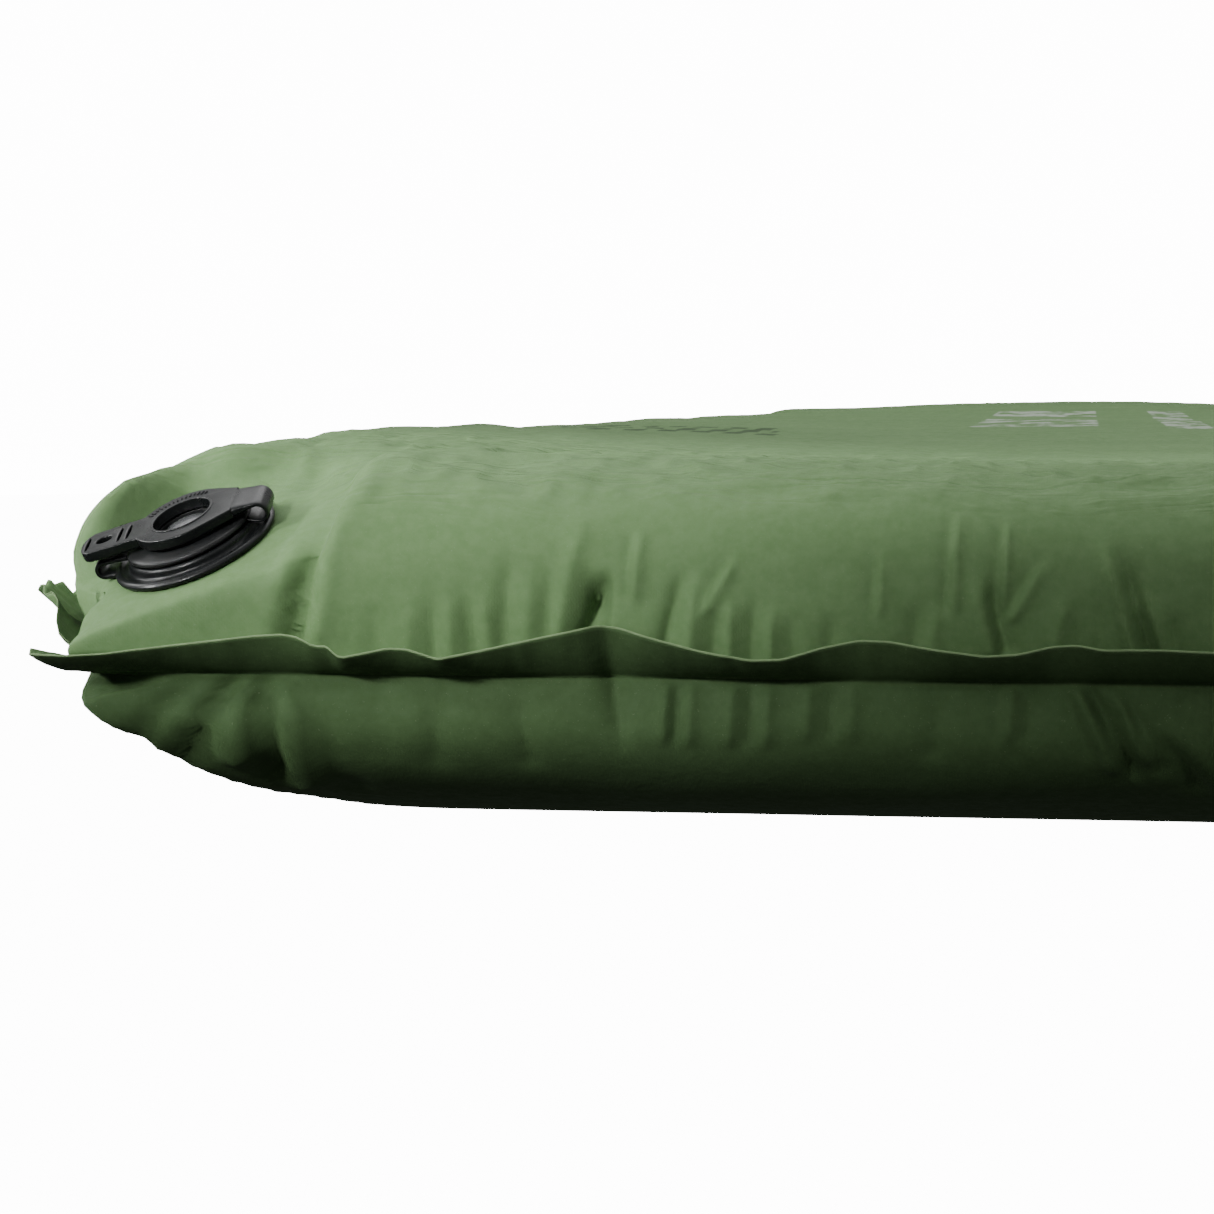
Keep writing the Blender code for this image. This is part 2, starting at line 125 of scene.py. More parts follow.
def wall(count, roll, bulge, bulge_height, height, power):
    """(inset, share of the height) from the seam out to the bulge and in over the roll."""
    q = np.linspace(0, 1, count)
    split = 0.28
    base = bulge_height / height
    turn = np.clip((q - split) / (1 - split), 0, 1) * math.pi / 2
    low = q < split
    inset = np.where(
        low,
        -bulge * np.sin(math.pi / 2 * q / split),
        roll - (roll + bulge) * np.maximum(np.cos(turn), 0) ** (2 / power),
    )
    share = np.where(low, base * q / split, base + (1 - base) * np.sin(turn) ** (2 / power))
    return inset, share


def lines(seam, start_wall, end_wall, positions, roll):
    """Grid lines across one direction: places along the seam and on the skin, and share of the rise."""
    shares = [np.linspace(0, 1, len(w[0])) for w in (start_wall, end_wall)]
    at_seam = [-seam + SEAM_WALL * shares[0], positions, seam - SEAM_WALL * shares[1][::-1]]
    inside = seam - SEAM_WALL - np.abs(positions)
    drawn = positions + np.sign(positions) * (SEAM_WALL - roll) * (1 - smooth(inside / 0.09))
    on_skin = [-seam + start_wall[0], drawn, seam - end_wall[0][::-1]]
    rise = [start_wall[1], np.ones(len(positions)), end_wall[1][::-1]]
    return [np.concatenate(part) for part in (at_seam, on_skin, rise)]


def spread(start, end, count, peaks=(), extra=2.0, width=0.006, grade=None):
    """Places from start to end, closer together near the peaks."""
    fine = np.linspace(start, end, 4000)
    density = np.ones_like(fine) if grade is None else grade(fine)
    for peak in peaks:
        density = density + extra * hill(fine, peak, width)
    total = np.concatenate([[0], np.cumsum((density[1:] + density[:-1]) / 2)])
    return np.interp(np.linspace(0, total[-1], count + 2)[1:-1], total, fine)


# ---- folds: (place along the side, its shift per metre of height, low, high, width, depth) in mm ----
# A positive depth is a valley, a negative one a ridge. Heights are above the floor.

NEAR_TOP_FOLDS = (
    (-242.5, 0.21, 60, 114, 4.4, 6.4), (-235.4, 0.21, 64, 112, 4.2, -2.6),
    (-250, 0.2, 60, 100, 4.4, -1.4), (-223, 0.1, 56, 72, 3.2, 0.8),
    (-213, 0.05, 56, 72, 2.6, -0.9), (-206, 0.05, 54, 76, 2.2, 1.3),
    (-200.5, 0.05, 54, 75, 2.4, -1.1), (-195, -0.05, 54, 78, 2.2, 1.5),
    (-189.5, -0.05, 54, 76, 2.4, -1.2), (-184, 0.1, 60, 86, 2.4, 1.5),
    (-177.5, 0.1, 56, 80, 2.4, -1.2), (-171.5, 0.05, 54, 82, 2.4, 2),
    (-166.3, 0.22, 56, 98, 2.6, -2), (-159, 0.4, 54, 82, 3, 5.4),
    (-151.2, 0.2, 66, 86, 4, -1.2), (-148.6, 0.05, 76, 94, 2.2, 1.2),
    (-145.8, 0.05, 76, 94, 1.7, -1.8), (-135.8, 0.25, 56, 82, 2.4, 3),
    (-129.8, 0.1, 56, 80, 3, -2.4), (-123.6, 0.59, 72, 86, 1.7, 1.3),
    (-121, 0.59, 72, 86, 1.6, -2.1), (-123.5, 0.05, 56, 70, 2.2, 1.4),
    (-118.8, 0.05, 56, 74, 2, -1.8), (-112.5, 0.05, 56, 74, 2.2, 1.7),
    (-107, 0.05, 56, 72, 2.2, -1.6), (-101, 0.05, 56, 70, 2.2, 1),
    (-90, 0.1, 56, 70, 2.4, 1.2), (-77.8, 0.05, 72, 88, 1.8, 1),
    (-75.5, 0.05, 72, 88, 1.6, -1.5), (-66, 0.1, 56, 74, 2.6, 1.4),
    (-60.5, 0.1, 56, 72, 2.4, -1.1), (-57, 0.03, 74, 98, 1.8, 1.2),
    (-54.4, 0.03, 74, 98, 1.6, -1.9), (-46.8, -0.28, 60, 80, 2.2, -3),
    (-42.6, -0.22, 60, 80, 2.2, 3.2), (-42.8, 0.03, 76, 96, 1.8, 1.3),
    (-40.2, 0.03, 76, 96, 1.6, -1.9), (-36.2, 0.61, 70, 86, 1.8, 1.4),
    (-33.5, 0.61, 70, 86, 1.7, -2.3), (-25, 0.2, 60, 76, 2.4, -1.2),
    (-20, -0.1, 56, 74, 2.4, 1.2), (-14, 0.05, 58, 76, 2.4, 1),
    (-8.2, -0.29, 56, 90, 2.2, -3.6), (-3.4, -0.3, 56, 88, 2.4, 4),
    (2, -0.34, 56, 78, 2, -2.8), (7, -0.1, 56, 72, 2.4, 1.4),
)
NEAR_LOW_FOLDS = (
    (-289, 0.9, 26, 50, 4, 2.4), (-272, 0.6, 26, 53, 3.4, 5),
    (-264, 0.2, 26, 50, 3.4, -3.4), (-256, -0.05, 20, 51, 3, 7.5),
    (-249.5, -0.1, 18, 50, 4.2, -4.2), (-239.5, -0.3, 16, 44, 4, 2.6),
    (-222, 0.1, 28, 50, 5, 0.9), (-205, 0.1, 26, 50, 4.6, 1.2),
    (-180, -0.1, 26, 50, 4.6, 1.2), (-138, 0.05, 34, 51, 2, -1.4),
    (-134.5, 0.05, 34, 51, 1.8, 1.5), (-130.5, 0.05, 34, 51, 2, -1.4),
    (-118.6, 0.05, 34, 51, 2.4, -1.6), (-113, 0.05, 34, 51, 2.4, 1.2),
    (-108, 0.05, 34, 51, 2.4, -1.4), (-96.3, 0.05, 36, 51, 2.4, -1.4),
    (-90, 0.05, 36, 51, 2.6, 1.1), (-84, 0.05, 36, 51, 2.6, -1.3),
    (-60, 0.05, 30, 51, 4, 1.2), (-43, 0.05, 36, 51, 2.4, 1),
    (-38.6, 0.05, 36, 51, 2.2, -1.6), (-33.5, 0.05, 36, 51, 2.4, 1.2),
    (-21, -0.4, 32, 51, 2.6, 1.4), (-15.6, -0.48, 28, 51, 2.4, -3.2),
    (-10.8, -0.48, 26, 51, 2.4, 3.6), (-5.4, -0.5, 30, 50, 2.2, -2.4),
    (-0.5, -0.45, 26, 46, 2.6, 2.2), (9, -0.6, 20, 36, 2.8, 2),
    (15.5, -0.6, 20, 38, 2.8, -1.4),
)
# height of the flange's cut edge above the seam along the near side, (place, height) in mm
NEAR_FLANGE = (
    (-330, 5.8), (-318, 5.8), (-306, 5.8), (-290, 8.0), (-276, 9.7), (-258, 11.9), (-248, 12.6),
    (-243, 11.6), (-239, 9.2), (-235, 9.7), (-231, 6.1), (-217, 9.0), (-211, 8.8), (-202, 6.2),
    (-193, 8.0), (-170, 13.1), (-157, 15.9), (-150, 15.2), (-139, 12.4), (-127, 9.4), (-112, 6.9),
    (-103, 7.2), (-92, 10.5), (-81, 12.7), (-73, 12.4), (-61, 10.4), (-46, 8.6), (-37, 9.2),
    (-27, 11.4), (-20, 11.8), (-13, 10.6), (3, 10.8), (20, 10.2), (48, 12.6), (75, 8.6),
    (110, 10.9), (140, 13.7), (165, 8.1), (205, 7.1), (240, 12.3), (262, 8.0), (300, 6.5),
    (330, 4.0),
)
FLANGE_SEEDS = {"far": (44, 48), "left": (45, 49), "right": (46, 50)}


def crease(value, centre, width):
    """A ridge of height 1 with a narrow top, where hill's is round."""
    return np.exp(-(np.abs((value - centre) / width) ** 1.35))


def fold_field(along, height, folds):
    """How far the skin stands out, in metres, from a list of folds."""
    total = np.zeros_like(along)
    for place, lean, low, high, width, depth in folds:
        middle = (low + high) / 2 * MM
        centre = place * MM + lean * (height - middle)
        open_end = smooth((height - low * MM) / (0.18 * (high - low) * MM) + 1)
        window = open_end * smooth((high * MM - height) / (0.45 * (high - low) * MM) + 0.25)
        total -= depth * MM * crease(along, centre, width * MM) * window
    return total


def random_folds(length, pitch, low, high, seed, strength=1.0):
    """Seeded puckers along a side that the list above doesn't cover."""
    rng = np.random.default_rng(seed)
    found = []
    place = -length / 2 + pitch
    while place < length / 2 - pitch:
        size = rng.uniform(0.5, 1.0)
        span = (high - low) * rng.uniform(0.35, 0.95)
        depth = strength * size * rng.choice((3.0, 2.0, -2.2, 4.2))
        width = rng.uniform(3.0, 5.5) * (0.7 + 0.6 * size)
        # puckers start at the seam: at the low end of the upper sheet, the high end of the lower one
        ends = (high - span, high) if low < SEAM_Z / MM - 10 else (low, low + span)
        found.append((place / MM, rng.uniform(-0.35, 0.35), *ends, width, depth))
        place += pitch * rng.uniform(0.5, 1.5)
    return found


def listed_then_random(listed, end, found):
    """A side's listed folds, and its seeded ones past a place in mm."""
    return [*listed, *(fold for fold in found if fold[0] > end)]


TOP_FOLDS = {
    "near": listed_then_random(NEAR_TOP_FOLDS, 14, random_folds(0.60, 0.014, 56, 86, 11, 0.9)),
    "far": random_folds(0.60, 0.018, 56, 86, 12, 0.9),
    "left": random_folds(1.90, 0.021, 56, 84, 13, 0.8),
    "right": random_folds(1.90, 0.021, 56, 86, 14, 0.9),
}
LOW_FOLDS = {
    "near": listed_then_random(NEAR_LOW_FOLDS, 16, random_folds(0.60, 0.018, 14, 51, 21)),
    "far": random_folds(0.60, 0.020, 14, 51, 22, 1.1),
    "left": random_folds(1.90, 0.024, 14, 51, 23, 1.0),
    "right": random_folds(1.90, 0.024, 14, 51, 24, 1.0),
}


# ---- the seam and the flange, shared by both sheets ----


def seam_height(x, y):
    """The seam wanders up and down a little, and rises where the valve's corner is pinched."""
    pinch = 9.5 * MM * hill(y, -0.924, 0.023) * smooth((-x - 0.30) / 0.01)
    along = np.where(np.abs(x) > SEAM_X - 0.01, y, x + 3 * np.sign(y))
    calm = 1 - smooth((-y - 0.96) / 0.01)
    return SEAM_Z + pinch + 1.1 * MM * waves(along, 0.31, 31) * (0.15 + 0.85 * calm)


def seam_shift(x, y):
    """Plan shift of the skin's side: long sides pull in between the corners."""
    side = -np.sign(x) * SIDE_PULL * (1 - (y / SEAM_Y) ** 2) * smooth(np.abs(x) / SEAM_X * 3 - 2)
    side = side - 0.003 * hill(y, -0.925, 0.020) * smooth((-x - 0.27) / 0.03)
    end = -np.sign(y) * 0.5 * SIDE_PULL * (1 - (x / SEAM_X) ** 2) * smooth(np.abs(y) / SEAM_Y * 6 - 5)
    end = np.where(y < 0, 0.25 * end, end)
    return side, end


def near_flange(along):
    """(rise, width) of the near flange, its heights softened at each listed place."""
    places, heights = np.array(NEAR_FLANGE).T * MM
    shifts = (0.0, -1.2 * MM, 1.2 * MM)
    rise = sum(np.interp(along + shift, places, heights) for shift in shifts) / len(shifts)
    return rise, FLANGE + 0.0035 * hill(along, -0.152, 0.030)


def left_flange(along, rise):
    """(rise, width): low and narrow just behind the corner's tip, then crumpled up against the side."""
    corner = 1 - smooth((along + 0.974) / 0.006)
    rise = rise * smooth((along + 0.948) / 0.010) + 0.0072 * corner + 0.0068 * (1 - corner)
    upturned = smooth((along + 0.945) / 0.014) * (1 - smooth((along + 0.888) / 0.03))
    crumpled = 0.0132 + 0.0012 * np.sin(along * 1050) + 0.0010 * np.sin(along * 430)
    rise = rise * (1 - upturned) + upturned * crumpled
    width = FLANGE * (1 + 0.44 * upturned + 0.05 * upturned * np.sin(along * 640))
    narrow = smooth((along + 0.975) / 0.014) * (1 - smooth((along + 0.954) / 0.012))
    return rise * (1 - 0.50 * narrow), width * (1 - 0.72 * narrow)


def flange_edge(along, side):
    """(rise, run) of the flange's cut edge for one side."""
    if side == "near":
        rise, width = near_flange(along)
    else:
        long_wave, short_wave = FLANGE_SEEDS[side]
        rise = 0.0095 + 0.0042 * waves(along, 0.23, long_wave) + 0.0016 * waves(along, 0.055, short_wave)
        width = FLANGE
    if side == "left":
        rise, width = left_flange(along, rise)
    rise = np.clip(rise, 0.0012, 0.0168)
    run = np.sqrt(np.maximum(width**2 - rise**2, (0.25 * FLANGE) ** 2))
    return rise, run


def groove(x, z):
    """Share of the sharp fold that crosses the flange: steep on its left, easing out on its right."""
    off = x + 0.1540 - 0.175 * (SEAM_Z - z)
    narrow = smooth((z - 0.025) / 0.026)
    left = np.exp(-((np.maximum(-off, 0) / 0.0036) ** 1.2))
    right = np.exp(-np.maximum(off, 0) / (0.0012 + 0.0095 * narrow))
    return left * right * narrow * (1 - smooth((z - 0.070) / 0.014))


def flange_rows(root, corner_share, on_end, sign_x, sign_y, shares, lift):
    """Rows of the flange for each seam point, root first. lift moves it along its own normal."""
    x, y = root[:, 0], root[:, 1]
    count = len(root)
    rise, run = np.zeros(count), np.zeros(count)
    for name, mask, along in (
        ("near", on_end & (sign_y < 0), x),
        ("far", on_end & (sign_y > 0), x),
        ("left", ~on_end & (sign_x < 0), y),
        ("right", ~on_end & (sign_x > 0), y),
    ):
        r, h = flange_edge(along, name)
        rise = np.where(mask, r, rise)
        run = np.where(mask, h, run)
    out = np.stack([np.where(on_end, 0.0, sign_x), np.where(on_end, sign_y, 0.0)], axis=1)
    other = np.stack([np.where(on_end, sign_x, 0.0), np.where(on_end, 0.0, sign_y)], axis=1)
    out = (out + 0.95 * corner_share[:, None] * other) * (1 - 0.36 * corner_share[:, None])
    rise = rise * (1 - 0.70 * corner_share * ((sign_x > 0) | (sign_y > 0)))
    direction = out / np.linalg.norm(out, axis=1)[:, None]
    rows = []
    ripple = 0.0007 * waves(np.where(on_end, x, y), 0.021, 51)
    for share in shares:
        curl = 0.16 * math.sin(math.pi * share)
        flat = root[:, :2] + out * (run * (share + curl * 0.5))[:, None]
        flat = flat + out * (ripple * share)[:, None]
        z = root[:, 2] + rise * (share - curl * 0.35)
        tilt = np.arctan2(rise, run)
        flat = flat - direction * (lift * np.sin(tilt))[:, None]
        rows.append(np.column_stack([flat, z + lift * np.cos(tilt)]))
    return rows


# ---- building a sheet ----


def valve_distance(points):
    """Distance from the valve's axis, and height over its plane."""
    offset = points - CENTRE
    height = offset @ OUT
    return np.linalg.norm(offset - height[..., None] * OUT, axis=-1), height


def onto_facet(points):
    """Moves the skin near the valve onto the flat that the valve is welded to."""
    across, height = valve_distance(points)
    share = 1 - smooth((across - FACET_RADIUS) / FACET_BLEND)
    share = share * (1 - smooth((np.abs(height) - 0.007) / 0.010))
    return points - (height * share)[..., None] * OUT


def soft_lower(a, b, soft):
    """The lower of two heights, with a soft shoulder between them."""
    return np.minimum(a, b) - soft * np.log1p(np.exp(-np.abs(a - b) / soft))


def under_valve(points):
    """Keeps the skin of the valve's corner under the valve's plane and under the flank left of it."""
    x, y, z = points[..., 0], points[..., 1], points[..., 2]
    plane = CENTRE[2] - ((x - CENTRE[0]) * OUT[0] + (y - CENTRE[1]) * OUT[1]) / OUT[2]
    flank = 0.0600 + 1.3 * (x + 0.318) + 0.08 * smooth((y + 0.967) / 0.024)
    lower = soft_lower(soft_lower(z, plane, 0.0100), flank, 0.0045)
    rear = 0.030 * smooth((-x - 0.292) / 0.030)
    share = smooth((-x - 0.225) / 0.03) * smooth((-y - 0.896 - rear) / 0.022)
    points = points.copy()
    points[..., 2] = np.maximum(z + (lower - z) * share, np.minimum(z, SEAM_Z))
    return points


def tab_room(points):
    """Lowers the skin beside the pull tab, so that the tab clears it when the plug swings open."""
    offset = points - CENTRE
    along, beside, height = (offset @ np.array(axis) for axis in (VALVE_X, VALVE_Y, VALVE_OUT))
    share = smooth((-along - TAB_START) / 0.004) * (1 - smooth((np.abs(beside) - 0.0085) / 0.006))
    excess = np.maximum(height + TAB_ROOM, 0) * (height < 0.014)
    return points - (excess * share)[..., None] * OUT


def grid_normals(points):
    du = np.gradient(points, axis=1)
    dv = np.gradient(points, axis=0)
    n = np.cross(du, dv)
    return n / np.maximum(np.linalg.norm(n, axis=2), 1e-12)[..., None]


def top_height(x, y):
    """Height of the top: puffed along its near left edge, and falling to the far corners."""
    out = (np.abs(x) / 0.29) ** 2
    inside = np.minimum(SEAM_X - np.abs(x), SEAM_Y - np.abs(y))
    height = SEAM_Z + TOP_RISE - MIDDLE_DIP * smooth((inside - 0.07) / 0.15)
    puff = np.where(x < 0, 0.0088, 0.0030) * np.exp(-(((y + 0.74) / 0.36) ** 2))
    shoulder = 0.0045 * hill(y, -0.945, 0.042) * smooth((-x - 0.26) / 0.05)
    height = height + puff * np.minimum(out, 1.0) - shoulder
    height = height - 0.0105 * smooth((y + 0.2) / 1.15) * np.minimum(out, 1.2)
    return height + 0.0012 * noise2(x, y, 0.16, 61)


def full_share(f, g):
    """Share of the depth of the lower sheet: fuller at its corners than the plain product."""
    return f * g + 0.75 * (np.minimum(f, g) - f * g)


def skin_grid(x_lines, y_lines, up):
    """Points of one sheet over its grid lines: a pillow whose rise is the product of both directions."""
    (seam_px, skin_px, fx), (seam_py, skin_py, fy) = x_lines, y_lines
    f, g = np.meshgrid(fx, fy)
    seam_x, seam_y = np.meshgrid(seam_px, seam_py)
    skin_x, skin_y = np.meshgrid(skin_px, skin_py)
    rate = 1.6 if up > 0 else 4.0  # how soon the skin leaves the seam's own places
    x = seam_x + (skin_x - seam_x) * smooth(g * rate)
    y = seam_y + (skin_y - seam_y) * smooth(f * rate)
    base = seam_height(np.clip(x, -SEAM_X, SEAM_X), np.clip(y, -SEAM_Y, SEAM_Y))
    if up > 0:
        # under the valve neither side bulges much
        x = np.where(x < -SEAM_X, -SEAM_X + (x + SEAM_X) * (1 - 0.95 * smooth((-y - 0.932) / 0.018)), x)
        y = np.where(y < -SEAM_Y, -SEAM_Y + (y + SEAM_Y) * (1 - 0.7 * smooth((-x - 0.20) / 0.07)), y)
        z = base + (top_height(x, y) - base) * f * g
    else:
        z = base * (1 - full_share(f, g))
    shift_x, shift_y = seam_shift(x, y)
    points = np.stack([x + shift_x, y + shift_y, z], axis=2)
    return (under_valve(points) if up > 0 else points), base


def fold_depths(points, up):
    """How far each point of a sheet stands out for its folds."""
    x, y, z = points[..., 0], points[..., 1], points[..., 2]
    across = smooth((SEAM_X + 0.004 - np.abs(x)) / 0.02)
    along = smooth((SEAM_Y + 0.004 - np.abs(y)) / 0.03)
    shares = {
        "near": smooth((-y - 0.905) / 0.02) * across,
        "far": smooth((y - 0.905) / 0.02) * across,
        "left": smooth((-x - 0.245) / 0.02) * along,
        "right": smooth((x - 0.245) / 0.02) * along,
    }
    total = np.zeros_like(x)
    for side, share in shares.items():
        place = x if side in ("near", "far") else y
        total += share * fold_field(place, z, (TOP_FOLDS if up > 0 else LOW_FOLDS)[side])
    # soft unevenness of the inflated side
    on_side = np.maximum(shares["near"] + shares["far"], shares["left"] + shares["right"])
    return total + on_side * 0.0012 * noise2(x + y, z * 1.5, 0.045, 62)


def pinches(points, up):
    """Diagonal pinches that run in from each corner."""
    x, y = points[..., 0], points[..., 1]
    total = np.zeros_like(x)
    for sx in (-1, 1):
        for sy in (-1, 1):
            u, v = SEAM_X - sx * x, SEAM_Y - sy * y
            across, along = (u - v) / 1.414, (u + v) / 1.414
            if sx < 0 and sy < 0:
                if up > 0:
                    ray = v - 0.022 - 0.45 * u
                    total -= 0.0075 * crease(ray, 0.0, 0.0040) * (1 - smooth((u - 0.014) / 0.014))
                continue
            fade = (1 - smooth((along - 0.05) / 0.05)) * smooth(along / 0.01)
            total -= 0.0045 * hill(across, 0.010 * sx * sy, 0.006) * fade
            total += 0.0020 * hill(across, -0.006 * sx * sy, 0.008) * fade
    return total


def shaped(grid, up):
    """The pillow with its folds, pinches and wrinkles, and the flat under the valve."""
    points, base = grid
    x, y, z = points[..., 0], points[..., 1], points[..., 2]
    normals = grid_normals(points) * (1 if up > 0 else -1)
    away = smooth((z - base) * up / 0.0025)  # nothing moves at the seam itself
    depth = fold_depths(points, up)
    if up > 0:
        across, height = valve_distance(points)
        calm = smooth((across - 0.026) / 0.016)
        calm = np.maximum(calm, smooth((np.abs(height) - 0.010) / 0.012))
        # fine wrinkles on the top, denser behind the near edge
        near_edge = np.exp(-(((y + 0.88) / 0.13) ** 2)) + 0.30
        wrinkle = np.abs(noise2(x * 0.45, y, 0.017, 63)) + 0.7 * np.abs(noise2(x * 0.8, y, 0.0085, 64))
        on_top = smooth((z - 0.097) / 0.010)
        depth = depth + on_top * near_edge * 0.0021 * (0.5 - wrinkle)
        depth = depth * calm + pinches(points, up) * smooth((across - 0.0265) / 0.004)
    else:
        depth = (depth + pinches(points, up)) * smooth((z - 0.002) / 0.010)
    moved = points + normals * (depth * away)[..., None]
    moved[..., 1] += GROOVE * groove(x, z) * smooth((-y - 0.935) / 0.02)
    if up > 0:
        moved = tab_room(onto_facet(moved))
    else:
        moved[..., 2] = np.maximum(moved[..., 2], 0.0)
    return moved


def boundary(points):
    """Seam points anticlockwise seen from above, with their grid indices."""
    rows, cols = points.shape[:2]
    index = [(0, j) for j in range(cols - 1)]
    index += [(i, cols - 1) for i in range(rows - 1)]
    index += [(rows - 1, j) for j in range(cols - 1, 0, -1)]
    index += [(i, 0) for i in range(rows - 1, 0, -1)]
    return np.array(index)


def make_sheet(name, points, up, hole, finish):
    """A mesh of the grid and its flange, with the flange's own thickness and cut edge."""
    rows, cols = points.shape[:2]
    i, j = boundary(points).T
    root = points[i, j]
    on_end = (i == 0) | (i == rows - 1)
    sign_x = np.where(j < cols / 2, -1.0, 1.0)
    sign_y = np.where(i < rows / 2, -1.0, 1.0)
    gap = np.where(on_end, SEAM_X - np.abs(root[:, 0]), SEAM_Y - np.abs(root[:, 1]))
    corner_share = 1 - np.clip(gap / 0.014, 0, 1)
    shares = np.array([0.0, 0.08, 0.25, 0.5, 0.75, 0.93, 1.0])
    weld = 0.03 * MM
    outer = flange_rows(root, corner_share, on_end, sign_x, sign_y, shares[1:], up * (weld + SKIN))
    inner = flange_rows(root, corner_share, on_end, sign_x, sign_y, shares[::-1], up * weld)
    verts = [points.reshape(-1, 3), *outer, *inner]
    strips = [i * cols + j]
    start = rows * cols
    for row in outer + inner:
        strips.append(start + np.arange(len(row)))
        start += len(row)
    verts = np.concatenate(verts)
    ii, jj = np.meshgrid(np.arange(rows - 1), np.arange(cols - 1), indexing="ij")
    first = (ii * cols + jj).ravel()
    faces = np.stack([first, first + 1, first + cols + 1, first + cols], axis=1)
    if hole is not None:
        middle = verts[faces].mean(axis=1)
        faces = faces[~hole(middle)]
    parts = [faces]
    for a, b in zip(strips, strips[1:]):
        a2, b2 = np.roll(a, -1), np.roll(b, -1)
        parts.append(np.stack([a, b, b2, a2], axis=1))
    faces = np.concatenate(parts)
    if up < 0:
        faces = faces[:, ::-1]
    mesh = bpy.data.meshes.new(name)
    mesh.from_pydata(verts.tolist(), [], faces.tolist())
    mesh.validate()
    mesh.update()
    # marks the flange's cut edge, which the fabric paints paler as a painted highlight
    edge = mesh.attributes.new("cut_edge_highlight", "FLOAT", "POINT")
    value = np.zeros(len(verts), np.float32)
    width = len(root)
    tip = rows * cols + (len(outer) - 1) * width
    value[tip : tip + 2 * width] = 1.0
    edge.data.foreach_set("value", value)
    mesh.shade_smooth()
    mesh.materials.append(finish)
    return add_object(name, mesh)


SEAM_WALL = 0.080  # along the seam, a side wall's lines are spread over this length from each corner
SIDE_SHAPE = {"roll": 0.050, "bulge": 0.0110, "bulge_height": 0.023, "height": TOP_RISE, "power": 2.25}
LOWER_SIDE_SHAPE = {"roll": 0.104, "bulge": 0.0, "bulge_height": 0.003, "height": SEAM_Z, "power": 1.60}
TOP_SHAPE = {"roll": 0.062, "bulge": 0.0055, "bulge_height": 0.022, "height": TOP_RISE, "power": 2.6}
BOTTOM_SHAPE = {"roll": 0.113, "bulge": 0.0020, "bulge_height": 0.012, "height": SEAM_Z, "power": 2.1}


def grid_lines(up):
    """The x and y lines of one sheet's grid. Both sheets share their places along the seam."""
    shape, side_shape = (TOP_SHAPE, SIDE_SHAPE) if up > 0 else (BOTTOM_SHAPE, LOWER_SIDE_SHAPE)
    near_wall, far_wall = wall(48, **shape), wall(30, **shape)
    side_wall = wall(38, **side_shape)
    flat_x, flat_y = SEAM_X - SEAM_WALL, SEAM_Y - SEAM_WALL
    folds = NEAR_TOP_FOLDS + NEAR_LOW_FOLDS
    peaks = sorted({round(fold[0]) * MM for fold in folds if abs(fold[0] * MM) < flat_x})
    x_places = spread(-flat_x, flat_x, 330, peaks, 0.6, 0.003)
    y_places = spread(-flat_y, flat_y, 160, grade=lambda y: 1 + 2.6 * np.exp(-(y + flat_y) / 0.12))
    x_lines = lines(SEAM_X, side_wall, side_wall, x_places, side_shape["roll"])
    y_lines = lines(SEAM_Y, near_wall, far_wall, y_places, shape["roll"])
    return x_lines, y_lines


# ---- materials ----


class Nodes:
    """Adds and links the nodes of one material."""

    def __init__(self, name):
        self.material = bpy.data.materials.new(name)
        self.material.use_nodes = True
        self.tree = self.material.node_tree
        self.shader = self.tree.nodes["Principled BSDF"]
        self.place = self.add("ShaderNodeTexCoord").outputs["Object"]

    def fill(self, node, inputs):
        """Links a value that is a socket, and sets one that is a number or a colour."""
        for key, value in inputs.items():
            if isinstance(value, bpy.types.NodeSocket):
                self.tree.links.new(value, node.inputs[key])
            else:
                node.inputs[key].default_value = value

    def add(self, kind, inputs=None, **settings):
        node = self.tree.nodes.new(kind)
        for key, value in settings.items():
            setattr(node, key, value)
        self.fill(node, inputs or {})
        return node

    def noise(self, scale, detail=4.0, rough=0.55, stretch=None, distortion=0.0):
        vector = self.place
        if stretch is not None:
            vector = self.add("ShaderNodeMapping", {"Vector": self.place, "Scale": stretch}).outputs[0]
        inputs = {"Vector": vector, "Scale": scale, "Detail": detail, "Roughness": rough}
        return self.add("ShaderNodeTexNoise", inputs | {"Distortion": distortion}).outputs["Fac"]

    def bands(self, direction):
        """Fine threads across one direction."""
        inputs = {"Vector": self.place, "Scale": 420.0, "Distortion": 1.2, "Detail": 1.0}
        return self.add("ShaderNodeTexWave", inputs, bands_direction=direction).outputs["Fac"]

    def math(self, operation, a, b=0.0, c=0.0):
        return self.add("ShaderNodeMath", {0: a, 1: b, 2: c}, operation=operation).outputs[0]

    def remap(self, value, low, high, to_low=0.0, to_high=1.0):
        inputs = {"Value": value, "From Min": low, "From Max": high, "To Min": to_low, "To Max": to_high}
        return self.add("ShaderNodeMapRange", inputs).outputs[0]

    def mix(self, share, a, b, blend="MIX"):
        # a colour mix has its factor, colours and result at these places
        node = self.add("ShaderNodeMix", data_type="RGBA", blend_type=blend)
        self.fill(node, {0: share, 6: a, 7: b})
        return node.outputs[2]

    def bump(self, height, strength, distance, normal=None):
        inputs = {"Height": height, "Strength": strength, "Distance": distance}
        if normal is not None:
            inputs["Normal"] = normal
        return self.add("ShaderNodeBump", inputs).outputs[0]

    def product(self, *values):
        total = values[0]
        for value in values[1:]:
            total = self.math("MULTIPLY", total, value)
        return total

    def set(self, **values):
        self.fill(self.shader, {key.replace("_", " "): value for key, value in values.items()})
        return self.material


def rgb(r, g, b):
    return (r, g, b, 1.0)


